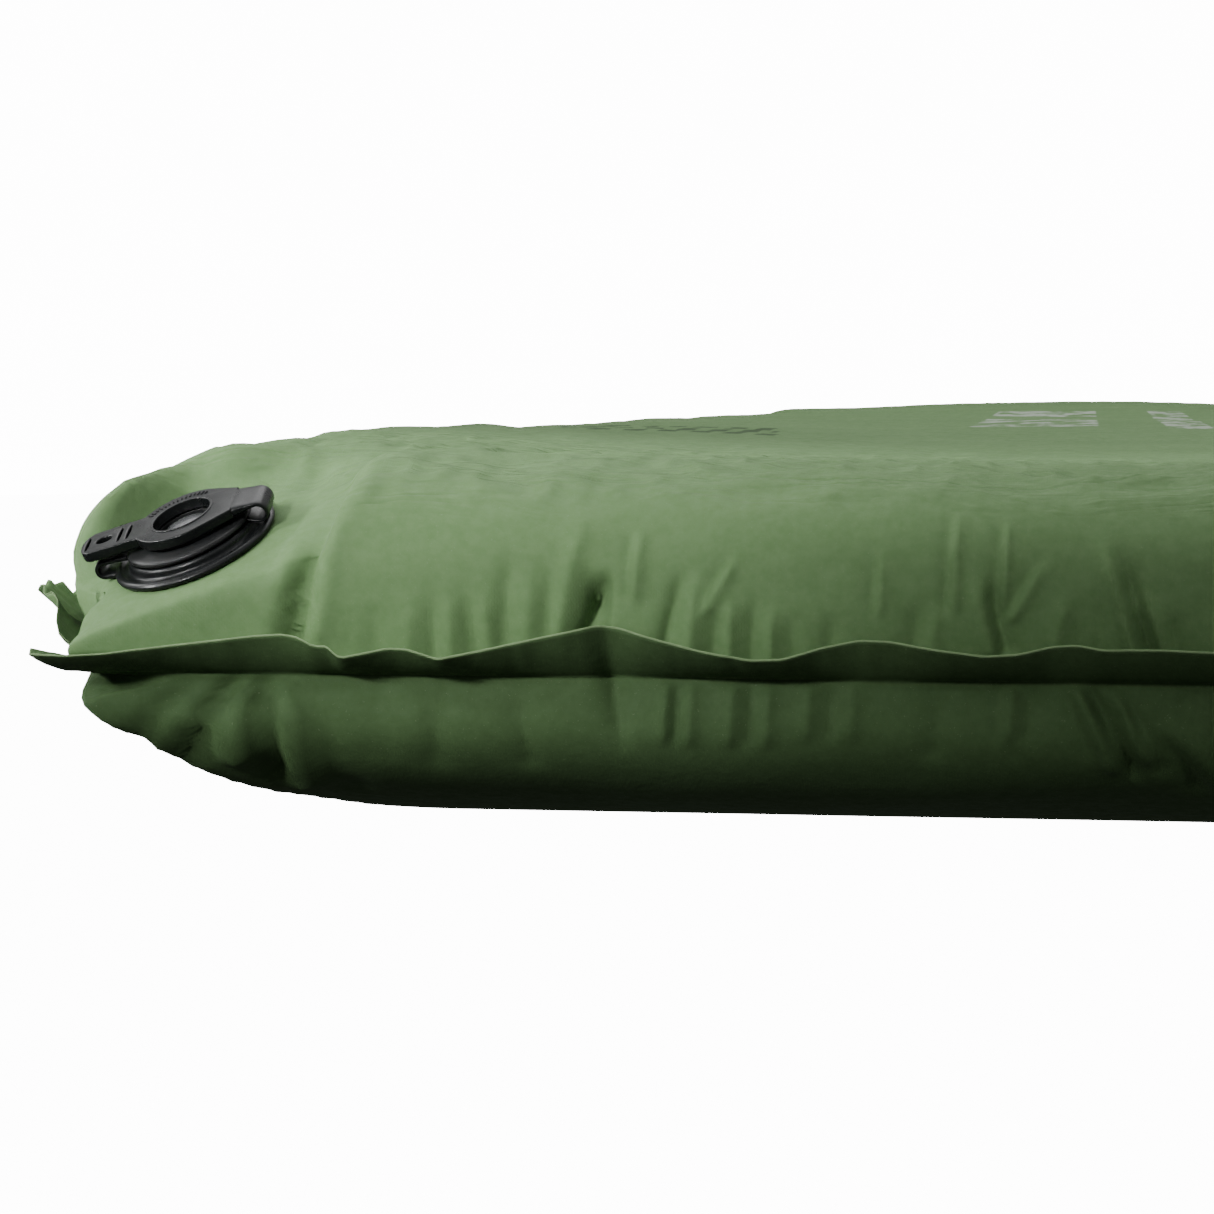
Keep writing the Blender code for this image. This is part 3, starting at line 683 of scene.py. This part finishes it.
# places and half sizes on the top, (x, y, half x, half y), of the worn white bars and the dark rows
WHITE_BARS = (
    (-0.045, 0.00, 0.034, 0.16),
    (-0.045, 0.34, 0.034, 0.10),
    (0.035, 0.12, 0.012, 0.34),
    (0.072, -0.02, 0.006, 0.20),
)
DARK_ROWS = [(-0.208, -0.455 + 0.075 * row, 0.058 - 0.008 * row, 0.024) for row in range(3)]
PRINT_EDGE = 1.2 * MM
PRINT_HEIGHT = 0.1035  # only the top is this high


def bar_mask(n, x, y, bars):
    """1 inside any of the bars, 0 outside."""
    total = None
    for centre_x, centre_y, half_x, half_y in bars:
        dx = n.math("SUBTRACT", half_x, n.math("ABSOLUTE", n.math("SUBTRACT", x, centre_x)))
        dy = n.math("SUBTRACT", half_y, n.math("ABSOLUTE", n.math("SUBTRACT", y, centre_y)))
        mask = n.remap(n.math("MINIMUM", dx, dy), 0.0, PRINT_EDGE)
        total = mask if total is None else n.math("MAXIMUM", total, mask)
    return total


def add_prints(n, colour):
    """Generic worn marks on the top."""
    x, y, z = n.add("ShaderNodeSeparateXYZ", {0: n.place}).outputs
    on_top = n.remap(z, PRINT_HEIGHT, PRINT_HEIGHT + MM)
    worn = n.remap(n.noise(46.0, 3.0, 0.6, stretch=(1.0, 0.35, 1.0)), 0.44, 0.56)
    share = n.product(bar_mask(n, x, y, WHITE_BARS), worn, on_top, 0.75)
    colour = n.mix(share, colour, rgb(0.34, 0.38, 0.33))
    dashes = n.remap(n.math("SINE", n.math("MULTIPLY", x, 430.0)), -0.4, -0.1)
    share = n.product(bar_mask(n, x, y, DARK_ROWS), dashes, on_top, 0.7)
    return n.mix(share, colour, rgb(0.018, 0.030, 0.014))


def fabric(name, light, dark, prints=False):
    """Coated woven fabric: a fine weave, cloudy coating, small creases, and a cut edge painted paler as
    a painted highlight.
    """
    n = Nodes(name)
    cloud = n.noise(9.0, 5.0, 0.6)
    fine = n.noise(260.0, 4.0, 0.65)
    colour = n.mix(n.remap(cloud, 0.32, 0.68), dark, light)
    shaded = n.mix(1.0, colour, rgb(0.62, 0.66, 0.58), "MULTIPLY")
    colour = n.mix(n.remap(fine, 0.35, 0.65, 0.0, 0.28), colour, shaded)
    speck = n.remap(n.noise(1500.0, 2.0, 0.5), 0.68, 0.76)
    colour = n.mix(n.math("MULTIPLY", speck, 0.10), colour, rgb(0.40, 0.48, 0.32))
    if prints:
        colour = add_prints(n, colour)
    # the cut edge is painted paler: a painted highlight where it catches the light
    edge = n.add("ShaderNodeAttribute", attribute_name="cut_edge_highlight").outputs["Fac"]
    colour = n.mix(n.remap(edge, 0.75, 1.0, 0.0, 0.32), colour, rgb(0.30, 0.40, 0.22))
    weave = n.math("ADD", n.bands("X"), n.bands("DIAGONAL"))
    normal = n.bump(n.noise(55.0, 6.0, 0.62, distortion=0.6), 0.35, 0.0012)
    # long low ripples, on the top only
    ripple = n.noise(75.0, 3.0, 0.5, stretch=(0.22, 1.0, 0.4), distortion=0.8)
    ripple = n.remap(n.math("ABSOLUTE", n.math("SUBTRACT", ripple, 0.5)), 0.0, 0.10)
    height = n.add("ShaderNodeSeparateXYZ", {0: n.place}).outputs[2]
    normal = n.bump(n.math("MULTIPLY", ripple, n.remap(height, 0.096, 0.104)), 0.60, 0.0009, normal)
    normal = n.bump(fine, 0.30, 0.00025, normal)
    normal = n.bump(weave, 0.10, 0.00008, normal)
    return n.set(
        Base_Color=colour,
        Roughness=n.remap(fine, 0.3, 0.7, 0.62, 0.78),
        Normal=normal,
        IOR=1.40,
        Specular_IOR_Level=0.12,
    )


def foam_material():
    n = Nodes("open_cell_foam")
    cells = n.add("ShaderNodeTexVoronoi", {"Vector": n.place, "Scale": 420.0}).outputs["Distance"]
    cloud = n.noise(14.0)
    colour = n.mix(n.remap(cloud, 0.3, 0.7), rgb(0.66, 0.58, 0.36), rgb(0.80, 0.73, 0.52))
    # the middle of each cell, a pit in the bump, is painted darker: painted shade in the foam's pores
    colour = n.mix(n.remap(cells, 0.25, 0.6, 0.5, 0.0), colour, rgb(0.42, 0.35, 0.20))
    rough = n.remap(cloud, 0.3, 0.7, 0.88, 0.97)
    return n.set(Base_Color=colour, Roughness=rough, Normal=n.bump(cells, 0.6, 0.0006))


def rubber(name, dark, light, rough, coat=0.0, specular=0.22):
    """Moulded rubber or plastic: faint mottling, fine grain and specks of dust."""
    n = Nodes(name)
    cloud = n.noise(95.0, 5.0, 0.6)
    grain = n.noise(1500.0, 3.0, 0.6)
    colour = n.mix(n.remap(cloud, 0.3, 0.7), dark, light)
    dust = n.math("MULTIPLY", n.remap(n.noise(2600.0, 1.0, 0.5), 0.70, 0.76), 0.25)
    colour = n.mix(dust, colour, rgb(0.16, 0.17, 0.15))
    normal = n.bump(grain, 0.22, 0.00012)
    normal = n.bump(cloud, 0.12, 0.0004, normal)
    return n.set(
        Base_Color=colour,
        Roughness=n.remap(cloud, 0.3, 0.7, rough - 0.06, rough + 0.08),
        Normal=normal,
        Coat_Weight=coat,
        Specular_IOR_Level=specular,
    )


def floor_material():
    """White that shines by itself, so that the ground has no shadow."""
    n = Nodes("floor_white")
    colour = n.mix(n.remap(n.noise(2.0, 2.0), 0.3, 0.7), rgb(0.86, 0.86, 0.86), rgb(0.88, 0.88, 0.88))
    return n.set(Base_Color=colour, Roughness=0.9, Emission_Color=colour, Emission_Strength=16.0)


MATERIALS = {
    "top": fabric("green_fabric", rgb(0.118, 0.200, 0.086), rgb(0.102, 0.177, 0.073), prints=True),
    # the lower sheet is the top's fabric painted less than half as bright: painted shade for the
    # underside
    "bottom": fabric("green_fabric_painted_shade", rgb(0.052, 0.094, 0.038), rgb(0.044, 0.080, 0.031)),
    "foam": foam_material(),
    "rubber": rubber("black_rubber", rgb(0.004, 0.005, 0.005), rgb(0.008, 0.009, 0.009), 0.30),
    "lid": rubber("lid_rubber", rgb(0.010, 0.011, 0.011), rgb(0.017, 0.018, 0.018), 0.36),
    "plastic": rubber("grey_plastic", rgb(0.040, 0.042, 0.042), rgb(0.060, 0.062, 0.062), 0.45),
    # the stopper's dome is grey plastic, painted lighter still as a painted highlight
    "dome": rubber("dome_plastic_painted_highlight", rgb(0.050, 0.052, 0.054), rgb(0.080, 0.083, 0.085), 0.24, 0.5, 0.5),
    "silicone": rubber("clear_silicone", rgb(0.40, 0.42, 0.42), rgb(0.52, 0.54, 0.54), 0.35),
    "floor": floor_material(),
}


# ---- the sheets in place ----


def join_rows(bm, rows):
    """Faces between each ring of points and the next."""
    for low, high in zip(rows, rows[1:]):
        count = len(low)
        for k in range(count):
            bm.faces.new((low[k], low[(k + 1) % count], high[(k + 1) % count], high[k]))


def finish_mesh(name, bm, finish, sharp):
    """An object from a bmesh, smooth but for edges sharper than the given angle."""
    bmesh.ops.recalc_face_normals(bm, faces=bm.faces)
    mesh = bpy.data.meshes.new(name)
    bm.to_mesh(mesh)
    bm.free()
    mesh.shade_smooth()
    mesh.set_sharp_from_angle(angle=math.radians(sharp))
    mesh.materials.append(MATERIALS[finish])
    return add_object(name, mesh)


def valve_hole(points):
    across, height = valve_distance(points)
    return (across < VALVE_HOLE) & (np.abs(height) < 0.02)


def skin_height(x, y, up):
    """Height of the plain pillow at a place inside the seam."""
    shape = TOP_SHAPE if up > 0 else BOTTOM_SHAPE
    inset, share = wall(200, **shape)
    rolled = inset >= 0
    f = np.interp(SEAM_X - np.abs(x), inset[rolled], share[rolled])
    g = np.interp(SEAM_Y - np.abs(y), inset[rolled], share[rolled])
    base = seam_height(x, y)
    if up > 0:
        return base + (top_height(x, y) - base) * f * g
    return base * (1 - full_share(f, g))


FOAM_EDGE = 0.042  # from the seam in to the foam's side
FOAM_CORNER = 0.115
FOAM_CLEAR = 3.0 * MM
FOAM_PITCH = 0.020  # most length between points of its outline
FOAM_RINGS = (1.0, 0.985, 0.95, 0.88, 0.78, 0.66, 0.54, 0.42, 0.30, 0.18, 0.07)


def foam_outline():
    """Plan outline of the foam: a rectangle with round corners, its long stretches divided."""
    half_x, half_y = SEAM_X - FOAM_EDGE, SEAM_Y - FOAM_EDGE
    outline = []
    for quarter, (sx, sy) in enumerate(((1, -1), (1, 1), (-1, 1), (-1, -1))):
        turns = math.pi / 2 * (quarter - 1 + np.linspace(0, 1, 21))
        x = sx * (half_x - FOAM_CORNER) + FOAM_CORNER * np.cos(turns)
        y = sy * (half_y - FOAM_CORNER) + FOAM_CORNER * np.sin(turns)
        outline += list(np.column_stack([x, y]))
    dense = []
    for a, b in zip(outline, outline[1:] + outline[:1]):
        count = max(1, int(np.linalg.norm(b - a) / FOAM_PITCH))
        dense += [a + (b - a) * k / count for k in range(count)]
    return np.array(dense)


def make_foam():
    """A foam block that fills the pad between its sheets, with square sides and wide round corners."""
    half_x, half_y = SEAM_X - FOAM_EDGE, SEAM_Y - FOAM_EDGE
    outline = foam_outline()
    bm = bmesh.new()
    rows = []
    for up, order in ((-1, FOAM_RINGS[::-1]), (1, FOAM_RINGS)):
        for scale in order:
            # the points of the last ring never quite meet on the middle lines
            least = 0.0008 * np.abs(outline) / half_y
            flat = np.sign(outline) * np.maximum(np.abs(outline) - (1 - scale) * half_x, least)
            z = skin_height(flat[:, 0], flat[:, 1], up) - up * FOAM_CLEAR
            rows.append([bm.verts.new((px, py, pz)) for (px, py), pz in zip(flat, z)])
    join_rows(bm, rows)
    bmesh.ops.holes_fill(bm, edges=[edge for edge in bm.edges if edge.is_boundary], sides=0)
    bmesh.ops.remove_doubles(bm, verts=bm.verts, dist=1e-5)
    foam = finish_mesh("foam_block", bm, "foam", sharp=40)
    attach(foam, "pad")
    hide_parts("foam_core")


def make_skin():
    top_points = shaped(skin_grid(*grid_lines(1), 1), 1)
    top = make_sheet("pad_top_fabric", top_points, 1, valve_hole, MATERIALS["top"])
    bottom_points = shaped(skin_grid(*grid_lines(-1), -1), -1)
    bottom = make_sheet("pad_bottom_fabric", bottom_points, -1, None, MATERIALS["bottom"])
    for obj, node, slot in ((top, "top_sheet", "sheet_top"), (bottom, "bottom_sheet", "sheet_bottom")):
        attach(obj, "pad")
        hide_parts(node)


make_foam()
make_skin()


# ---- the valve, in its own frame and in millimetres ----


def rounded(profile, radius=0.3, steps=3):
    """Rounds each corner of a closed line of (r, z) points."""
    made = []
    count = len(profile)
    for k, point in enumerate(profile):
        here = np.array(point, float)
        before, after = np.array(profile[k - 1], float), np.array(profile[(k + 1) % count], float)
        back, ahead = before - here, after - here
        reach = min(radius, 0.45 * np.linalg.norm(back), 0.45 * np.linalg.norm(ahead))
        start = here + back / np.linalg.norm(back) * reach
        end = here + ahead / np.linalg.norm(ahead) * reach
        for step in range(steps + 1):
            t = step / steps
            made.append(tuple((1 - t) ** 2 * start + 2 * t * (1 - t) * here + t * t * end))
    return made


def place_mesh(name, bm, finish, sharp=50):
    """An object from a bmesh in the valve's frame and in millimetres."""
    bm.transform(VALVE @ Matrix.Scale(MM, 4))
    return finish_mesh(name, bm, finish, sharp)


def lathe_rows(bm, profile, steps):
    """Rings of points from a line of (r, z) points."""
    turns = 2 * math.pi * np.arange(steps) / steps
    return [[bm.verts.new((r * math.cos(a), r * math.sin(a), z)) for a in turns] for r, z in profile]


def turned(name, profile, finish, closed=True):
    """A piece turned about the valve's axis: a ring, or from an open profile one with two flat ends."""
    bm = bmesh.new()
    rows = lathe_rows(bm, profile, steps=112)
    if closed:
        join_rows(bm, rows + rows[:1])
    else:
        bm.faces.new(rows[0][::-1])
        bm.faces.new(rows[-1])
        join_rows(bm, rows)
    return place_mesh(name, bm, finish)


def plate(name, outline, holes, low, high, finish, edge=0.45):
    """A flat moulded plate with rounded edges and holes, from outlines in the valve's frame."""
    curve = bpy.data.curves.new(name, "CURVE")
    curve.dimensions = "2D"
    curve.fill_mode = "BOTH"
    curve.extrude = (high - low) / 2 - edge
    curve.bevel_depth = edge
    curve.bevel_resolution = 3
    curve.offset = -edge
    for line in (outline, *holes):
        spline = curve.splines.new("POLY")
        spline.points.add(len(line) - 1)
        for point, (px, py) in zip(spline.points, line):
            point.co = (px, py, 0, 1)
        spline.use_cyclic_u = True
    maker = add_object(name + "_maker", curve)
    bpy.context.view_layer.update()
    mesh = bpy.data.meshes.new_from_object(maker.evaluated_get(bpy.context.evaluated_depsgraph_get()))
    bm = bmesh.new()
    bm.from_mesh(mesh)
    bpy.data.objects.remove(maker)
    bpy.data.meshes.remove(mesh)
    bmesh.ops.remove_doubles(bm, verts=bm.verts, dist=0.005)
    bm.transform(Matrix.Translation((0, 0, (low + high) / 2)))
    return place_mesh(name, bm, finish)


def oval(centre_x, half_x, half_y, steps=28):
    turns = 2 * math.pi * np.arange(steps) / steps
    return [(centre_x + half_x * math.cos(a), half_y * math.sin(a)) for a in turns]


STRAP_POINTS = 24  # round a strap's section


def strap(name, path, widths, thickness, finish):
    """A moulded strap along a path of (x, z) points, with its own half width and thickness at each."""
    path = [np.array(point, float) for point in path]
    bm = bmesh.new()
    rows = []
    for k, (point, half, thick) in enumerate(zip(path, widths, thickness)):
        along = path[min(k + 1, len(path) - 1)] - path[max(k - 1, 0)]
        along /= np.linalg.norm(along)
        normal = np.array([-along[1], along[0]])
        ring = []
        for a in 2 * math.pi * (np.arange(STRAP_POINTS) + 0.5) / STRAP_POINTS:
            side = math.copysign(abs(math.cos(a)) ** 0.30, math.cos(a)) * half
            out = math.copysign(abs(math.sin(a)) ** 0.55, math.sin(a)) * thick / 2
            spot = point + normal * out
            ring.append(bm.verts.new((spot[0], side, spot[1])))
        rows.append(ring)
    join_rows(bm, rows)
    bm.faces.new(rows[0][::-1])
    bm.faces.new(rows[-1])
    return place_mesh(name, bm, finish, sharp=60)


def arc(centre, radius, start, end, steps):
    turns = np.radians(np.linspace(start, end, steps + 1))
    return [(centre[0] + radius * math.cos(a), centre[1] + radius * math.sin(a)) for a in turns]


BASE_PROFILE = (
    (15.5, -5.6), (18, -5.6), (18, 0.25), (25.3, 0.25), (26, 0.8), (26.1, 1.7), (25.2, 2.5),
    (24, 2.6), (22.9, 1.9), (21.8, 1.8), (21.1, 2.4), (20.9, 3.7), (20.2, 4.45), (16, 4.45),
    (15.5, 4),
)
PLUG_PROFILE = (
    (9.4, 7.9), (12.9, 8), (13.4, 7.6), (13.7, 7), (18.9, 6.75), (20, 6.5), (20.4, 5.7),
    (20, 4.95), (19, 4.8), (14.2, 4.8), (14.2, 1.1), (14.9, 0.5), (14.2, -0.1), (14.2, -1.9),
    (14.9, -2.5), (14.2, -3.1), (13.8, -4.5), (12, -4.5), (12, 4), (9.4, 4),
)
STOPPER_PROFILE = (
    (0.05, 5.4), (7.6, 5.4), (8.6, 6.2), (8.6, 6.7), (8.2, 7.2), (7.2, 7.8), (5.6, 8.35), (3.6, 8.75),
    (1.6, 8.93), (0.05, 8.95),
)
CAP_LOW, CAP_HIGH = 8.3, 11.5
CAP_RING = 15.5
CAP_BORE = 9.3
PLUG_AXIS = (-28.3, 3.65)
CAP_AXIS = (24.2, 8.7)
STRAP_START = 17.4  # where the cap's plate turns into its strap
STRAP_HALF = 7.8
LIP_PROFILE = (
    (CAP_BORE - 0.15, 8.6), (CAP_BORE + 0.9, 11.2), (CAP_BORE + 0.8, 11.75), (CAP_BORE, 11.75),
)


def cap_outline():
    """Ring, pull tab and the taper to the strap, in one outline."""
    taper, neck, half = 60, 28, 7.3
    upper = [(STRAP_START, STRAP_HALF)] + arc((0, 0), CAP_RING, taper, 180 - neck, 39)
    upper += [(-16.4, 7.0), (-18.6, half), (-29.5, half * 0.95)]
    tip = [(-29.6 - 4.0 * math.cos(a), 6.9 * math.sin(a)) for a in np.radians(np.linspace(75, -75, 12))]
    lower = [(x, -y) for x, y in upper[::-1]]
    return (lower[-1:] + upper + tip + lower[:-1])[::-1]


def make_cap_ribs():
    """A band of small raised ribs on the ring of the cap, for grip."""
    bm = bmesh.new()
    for k in range(15):
        a = math.radians(62 + 6.4 * k)
        place = Matrix.Rotation(a, 4, "Z") @ Matrix.Translation((12.9, 0, CAP_HIGH + 0.04))
        shape = Matrix.Diagonal((1.9 if k % 3 else 1.3, 0.62, 0.44, 1))
        bmesh.ops.create_cube(bm, size=1, matrix=place @ shape)
    bmesh.ops.bevel(bm, geom=bm.edges[:], offset=0.12, segments=2, affect="EDGES")
    return place_mesh("cap_ribs", bm, "rubber")


def make_layers():
    """The base, the middle layer and the cap with its stopper."""
    base = turned("valve_base_lips", rounded(BASE_PROFILE, 0.35), "rubber")
    plug = turned("plug_rim", rounded(PLUG_PROFILE, 0.30), "lid")
    stopper = turned("stopper_dome", STOPPER_PROFILE, "dome", closed=False)
    holes = [oval(0, CAP_BORE, CAP_BORE, 72), oval(-26.0, 2.6, 2.1)]
    holes += [oval(x, 0.55, half) for x, half in ((-31.4, 4.4), (-20.6, 4.6), (-17.6, 4.6))]
    cap = plate("cap_plate", cap_outline(), holes, CAP_LOW, CAP_HIGH, "rubber")
    ribs = make_cap_ribs()
    lip = turned("cap_bore_lip", rounded(LIP_PROFILE, 0.2), "rubber")
    for obj, body, nodes in (
        (base, "pad", ["valve_base"]),
        (plug, "plug", ["deflation_plug"]),
        (stopper, "cap", ["cap_stopper"]),
        (cap, "cap", ["inflation_cap"]),
        (ribs, "cap", []),
        (lip, "cap", []),
    ):
        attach(obj, body)
        if nodes:
            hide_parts(*nodes)


def make_plug_strap():
    bend, steps = 2.3, 18
    z = PLUG_AXIS[1]
    path = [(-23.9, z - bend + 0.1), (-26.5, z - bend)]
    path += arc(PLUG_AXIS, bend, -90, -270, steps)
    path += [(-24.0, z + bend - 0.05), (-19.4, 5.75)]
    widths = [6.4, 5.8] + [5.2] * (steps + 1) + [5.4, 6.6]
    hinge = strap("plug_strap", path, widths, [1.7] * len(path), "rubber")
    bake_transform(hinge)
    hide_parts("plug_strap_loop")


def make_cap_strap():
    bend, steps = 3.0, 20
    z = (CAP_LOW + CAP_HIGH) / 2
    path = [(STRAP_START - 1.4, z), (STRAP_START, z), (18.8, z + 0.02), (20.2, z + 0.02)]
    path += [(21.6, z + 0.01), (22.9, z)]
    path += arc((CAP_AXIS[0] - 0.3, z - bend), bend, 80, -90, steps)
    path += [(22.4, z - 2 * bend + 0.15), (19.6, z - 2 * bend + 1.4)]
    widths = [STRAP_HALF - 0.1, STRAP_HALF - 0.1, 7.45, 7.2, 7.0, 6.85]
    widths += [6.7 - 0.06 * k for k in range(steps + 1)] + [5.0, 4.6]
    thick = [CAP_HIGH - CAP_LOW - 0.05] * 2 + [2.9, 2.55, 2.15, 1.85]
    thick += [1.6 - 0.02 * k for k in range(steps + 1)] + [1.1, 1.1]
    bridge = strap("cap_strap", path, widths, thick, "rubber")
    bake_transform(bridge)
    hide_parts("cap_strap_loop")


make_layers()
make_plug_strap()
make_cap_strap()
for node, finish, slot in (
    ("valve_weld_ring", "rubber", "valve_black"),
    ("valve_foam_guard", "plastic", "valve_grey"),
    ("flap_seat", "plastic", "valve_grey"),
    ("non_return_flap", "silicone", "silicone"),
):
    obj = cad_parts[node]
    obj.data.materials.clear()
    obj.data.materials.append(MATERIALS[finish])


# ---- stage, light and camera ----


FLOOR_RADIUS = 11.0
FLOOR_BEND = 3.0  # radius of the curve from the floor up to the wall
FLOOR_LOW = 0.2 * MM  # the floor is this far below the pad
WALL_TOP = 14.0
SPOT_SOFT = 0.13


def make_stage():
    """A pale bowl round the pad: a wide flat floor that curves up into a wall on every side."""
    profile = [(2.0, 0.0), (6.0, 0.0), (FLOOR_RADIUS, 0.0)]
    for a in np.radians([20, 45, 70, 90]):
        profile.append((FLOOR_RADIUS + FLOOR_BEND * math.sin(a), FLOOR_BEND - FLOOR_BEND * math.cos(a)))
    profile.append((FLOOR_RADIUS + FLOOR_BEND, WALL_TOP))
    bm = bmesh.new()
    rows = lathe_rows(bm, [(radius, height - FLOOR_LOW) for radius, height in profile], steps=96)
    bm.faces.new(rows[0])
    join_rows(bm, rows)
    mesh = bpy.data.meshes.new("floor")
    bm.to_mesh(mesh)
    bm.free()
    mesh.shade_smooth()
    mesh.materials.append(MATERIALS["floor"])
    floor = add_object("floor", mesh)
    floor.visible_diffuse = False
    floor.visible_glossy = False
    floor.visible_shadow = False


def add_light(name, kind, place, aim, power):
    data = bpy.data.lights.new(name, kind)
    data.energy = power
    light = add_object(name, data)
    light.location = place
    light.rotation_euler = (Vector(aim) - Vector(place)).to_track_quat("-Z", "Y").to_euler()
    return data


def area_light(name, place, aim, size, power):
    data = add_light(name, "AREA", place, aim, power)
    data.shape = "RECTANGLE"
    data.size, data.size_y = size


def spot_light(name, place, aim, angle, power):
    data = add_light(name, "SPOT", place, aim, power)
    data.spot_size = math.radians(angle)
    data.spot_blend = 1.0
    data.shadow_soft_size = SPOT_SOFT


def make_light():
    """A room white above and dark below, two soft lamps, and three spots on the near side."""
    world = bpy.data.worlds.new("studio")
    bpy.context.scene.world = world
    world.use_nodes = True
    nodes, links = world.node_tree.nodes, world.node_tree.links
    place = nodes.new("ShaderNodeTexCoord")
    split = nodes.new("ShaderNodeSeparateXYZ")
    ramp = nodes.new("ShaderNodeMapRange")
    for key, value in {"From Min": 0.02, "From Max": 0.60, "To Min": 0.14, "To Max": 1.0}.items():
        ramp.inputs[key].default_value = value
    links.new(place.outputs["Generated"], split.inputs[0])
    links.new(split.outputs[2], ramp.inputs["Value"])
    links.new(ramp.outputs[0], nodes["Background"].inputs["Color"])
    nodes["Background"].inputs["Strength"].default_value = 0.70
    area_light("key_left", (-3.2, 0.1, 1.9), (-0.2, -0.6, 0.05), size=(1.4, 1.2), power=60)
    area_light("top", (-0.5, 0.5, 3.0), (0, -0.3, 0), size=(2.4, 3.0), power=68)
    spot_light("corner", (-0.95, -2.35, 0.72), (-0.215, -0.97, 0.075), angle=10.5, power=230)
    spot_light("rear_lobe", (-1.65, -1.35, 0.62), (-0.325, -0.84, 0.095), angle=9.0, power=520)
    spot_light("right_wall", (1.10, -2.50, 0.85), (0.28, -0.97, 0.07), angle=14.0, power=110)


CAMERA_YAW = math.radians(8.0)  # it looks towards the valve's corner
CAMERA_PLACE = Vector((-0.0185, -1.946, 0.1413))
CAMERA_PITCH = math.radians(4.08)


def make_camera():
    data = bpy.data.cameras.new("camera")
    data.lens = 100.8
    data.sensor_width = 36.0
    data.clip_start = 0.05
    camera = add_object("camera", data)
    camera.location = CAMERA_PLACE
    camera.rotation_euler = (math.pi / 2 - CAMERA_PITCH, 0, CAMERA_YAW)
    bpy.context.scene.camera = camera


make_stage()
make_light()
make_camera()
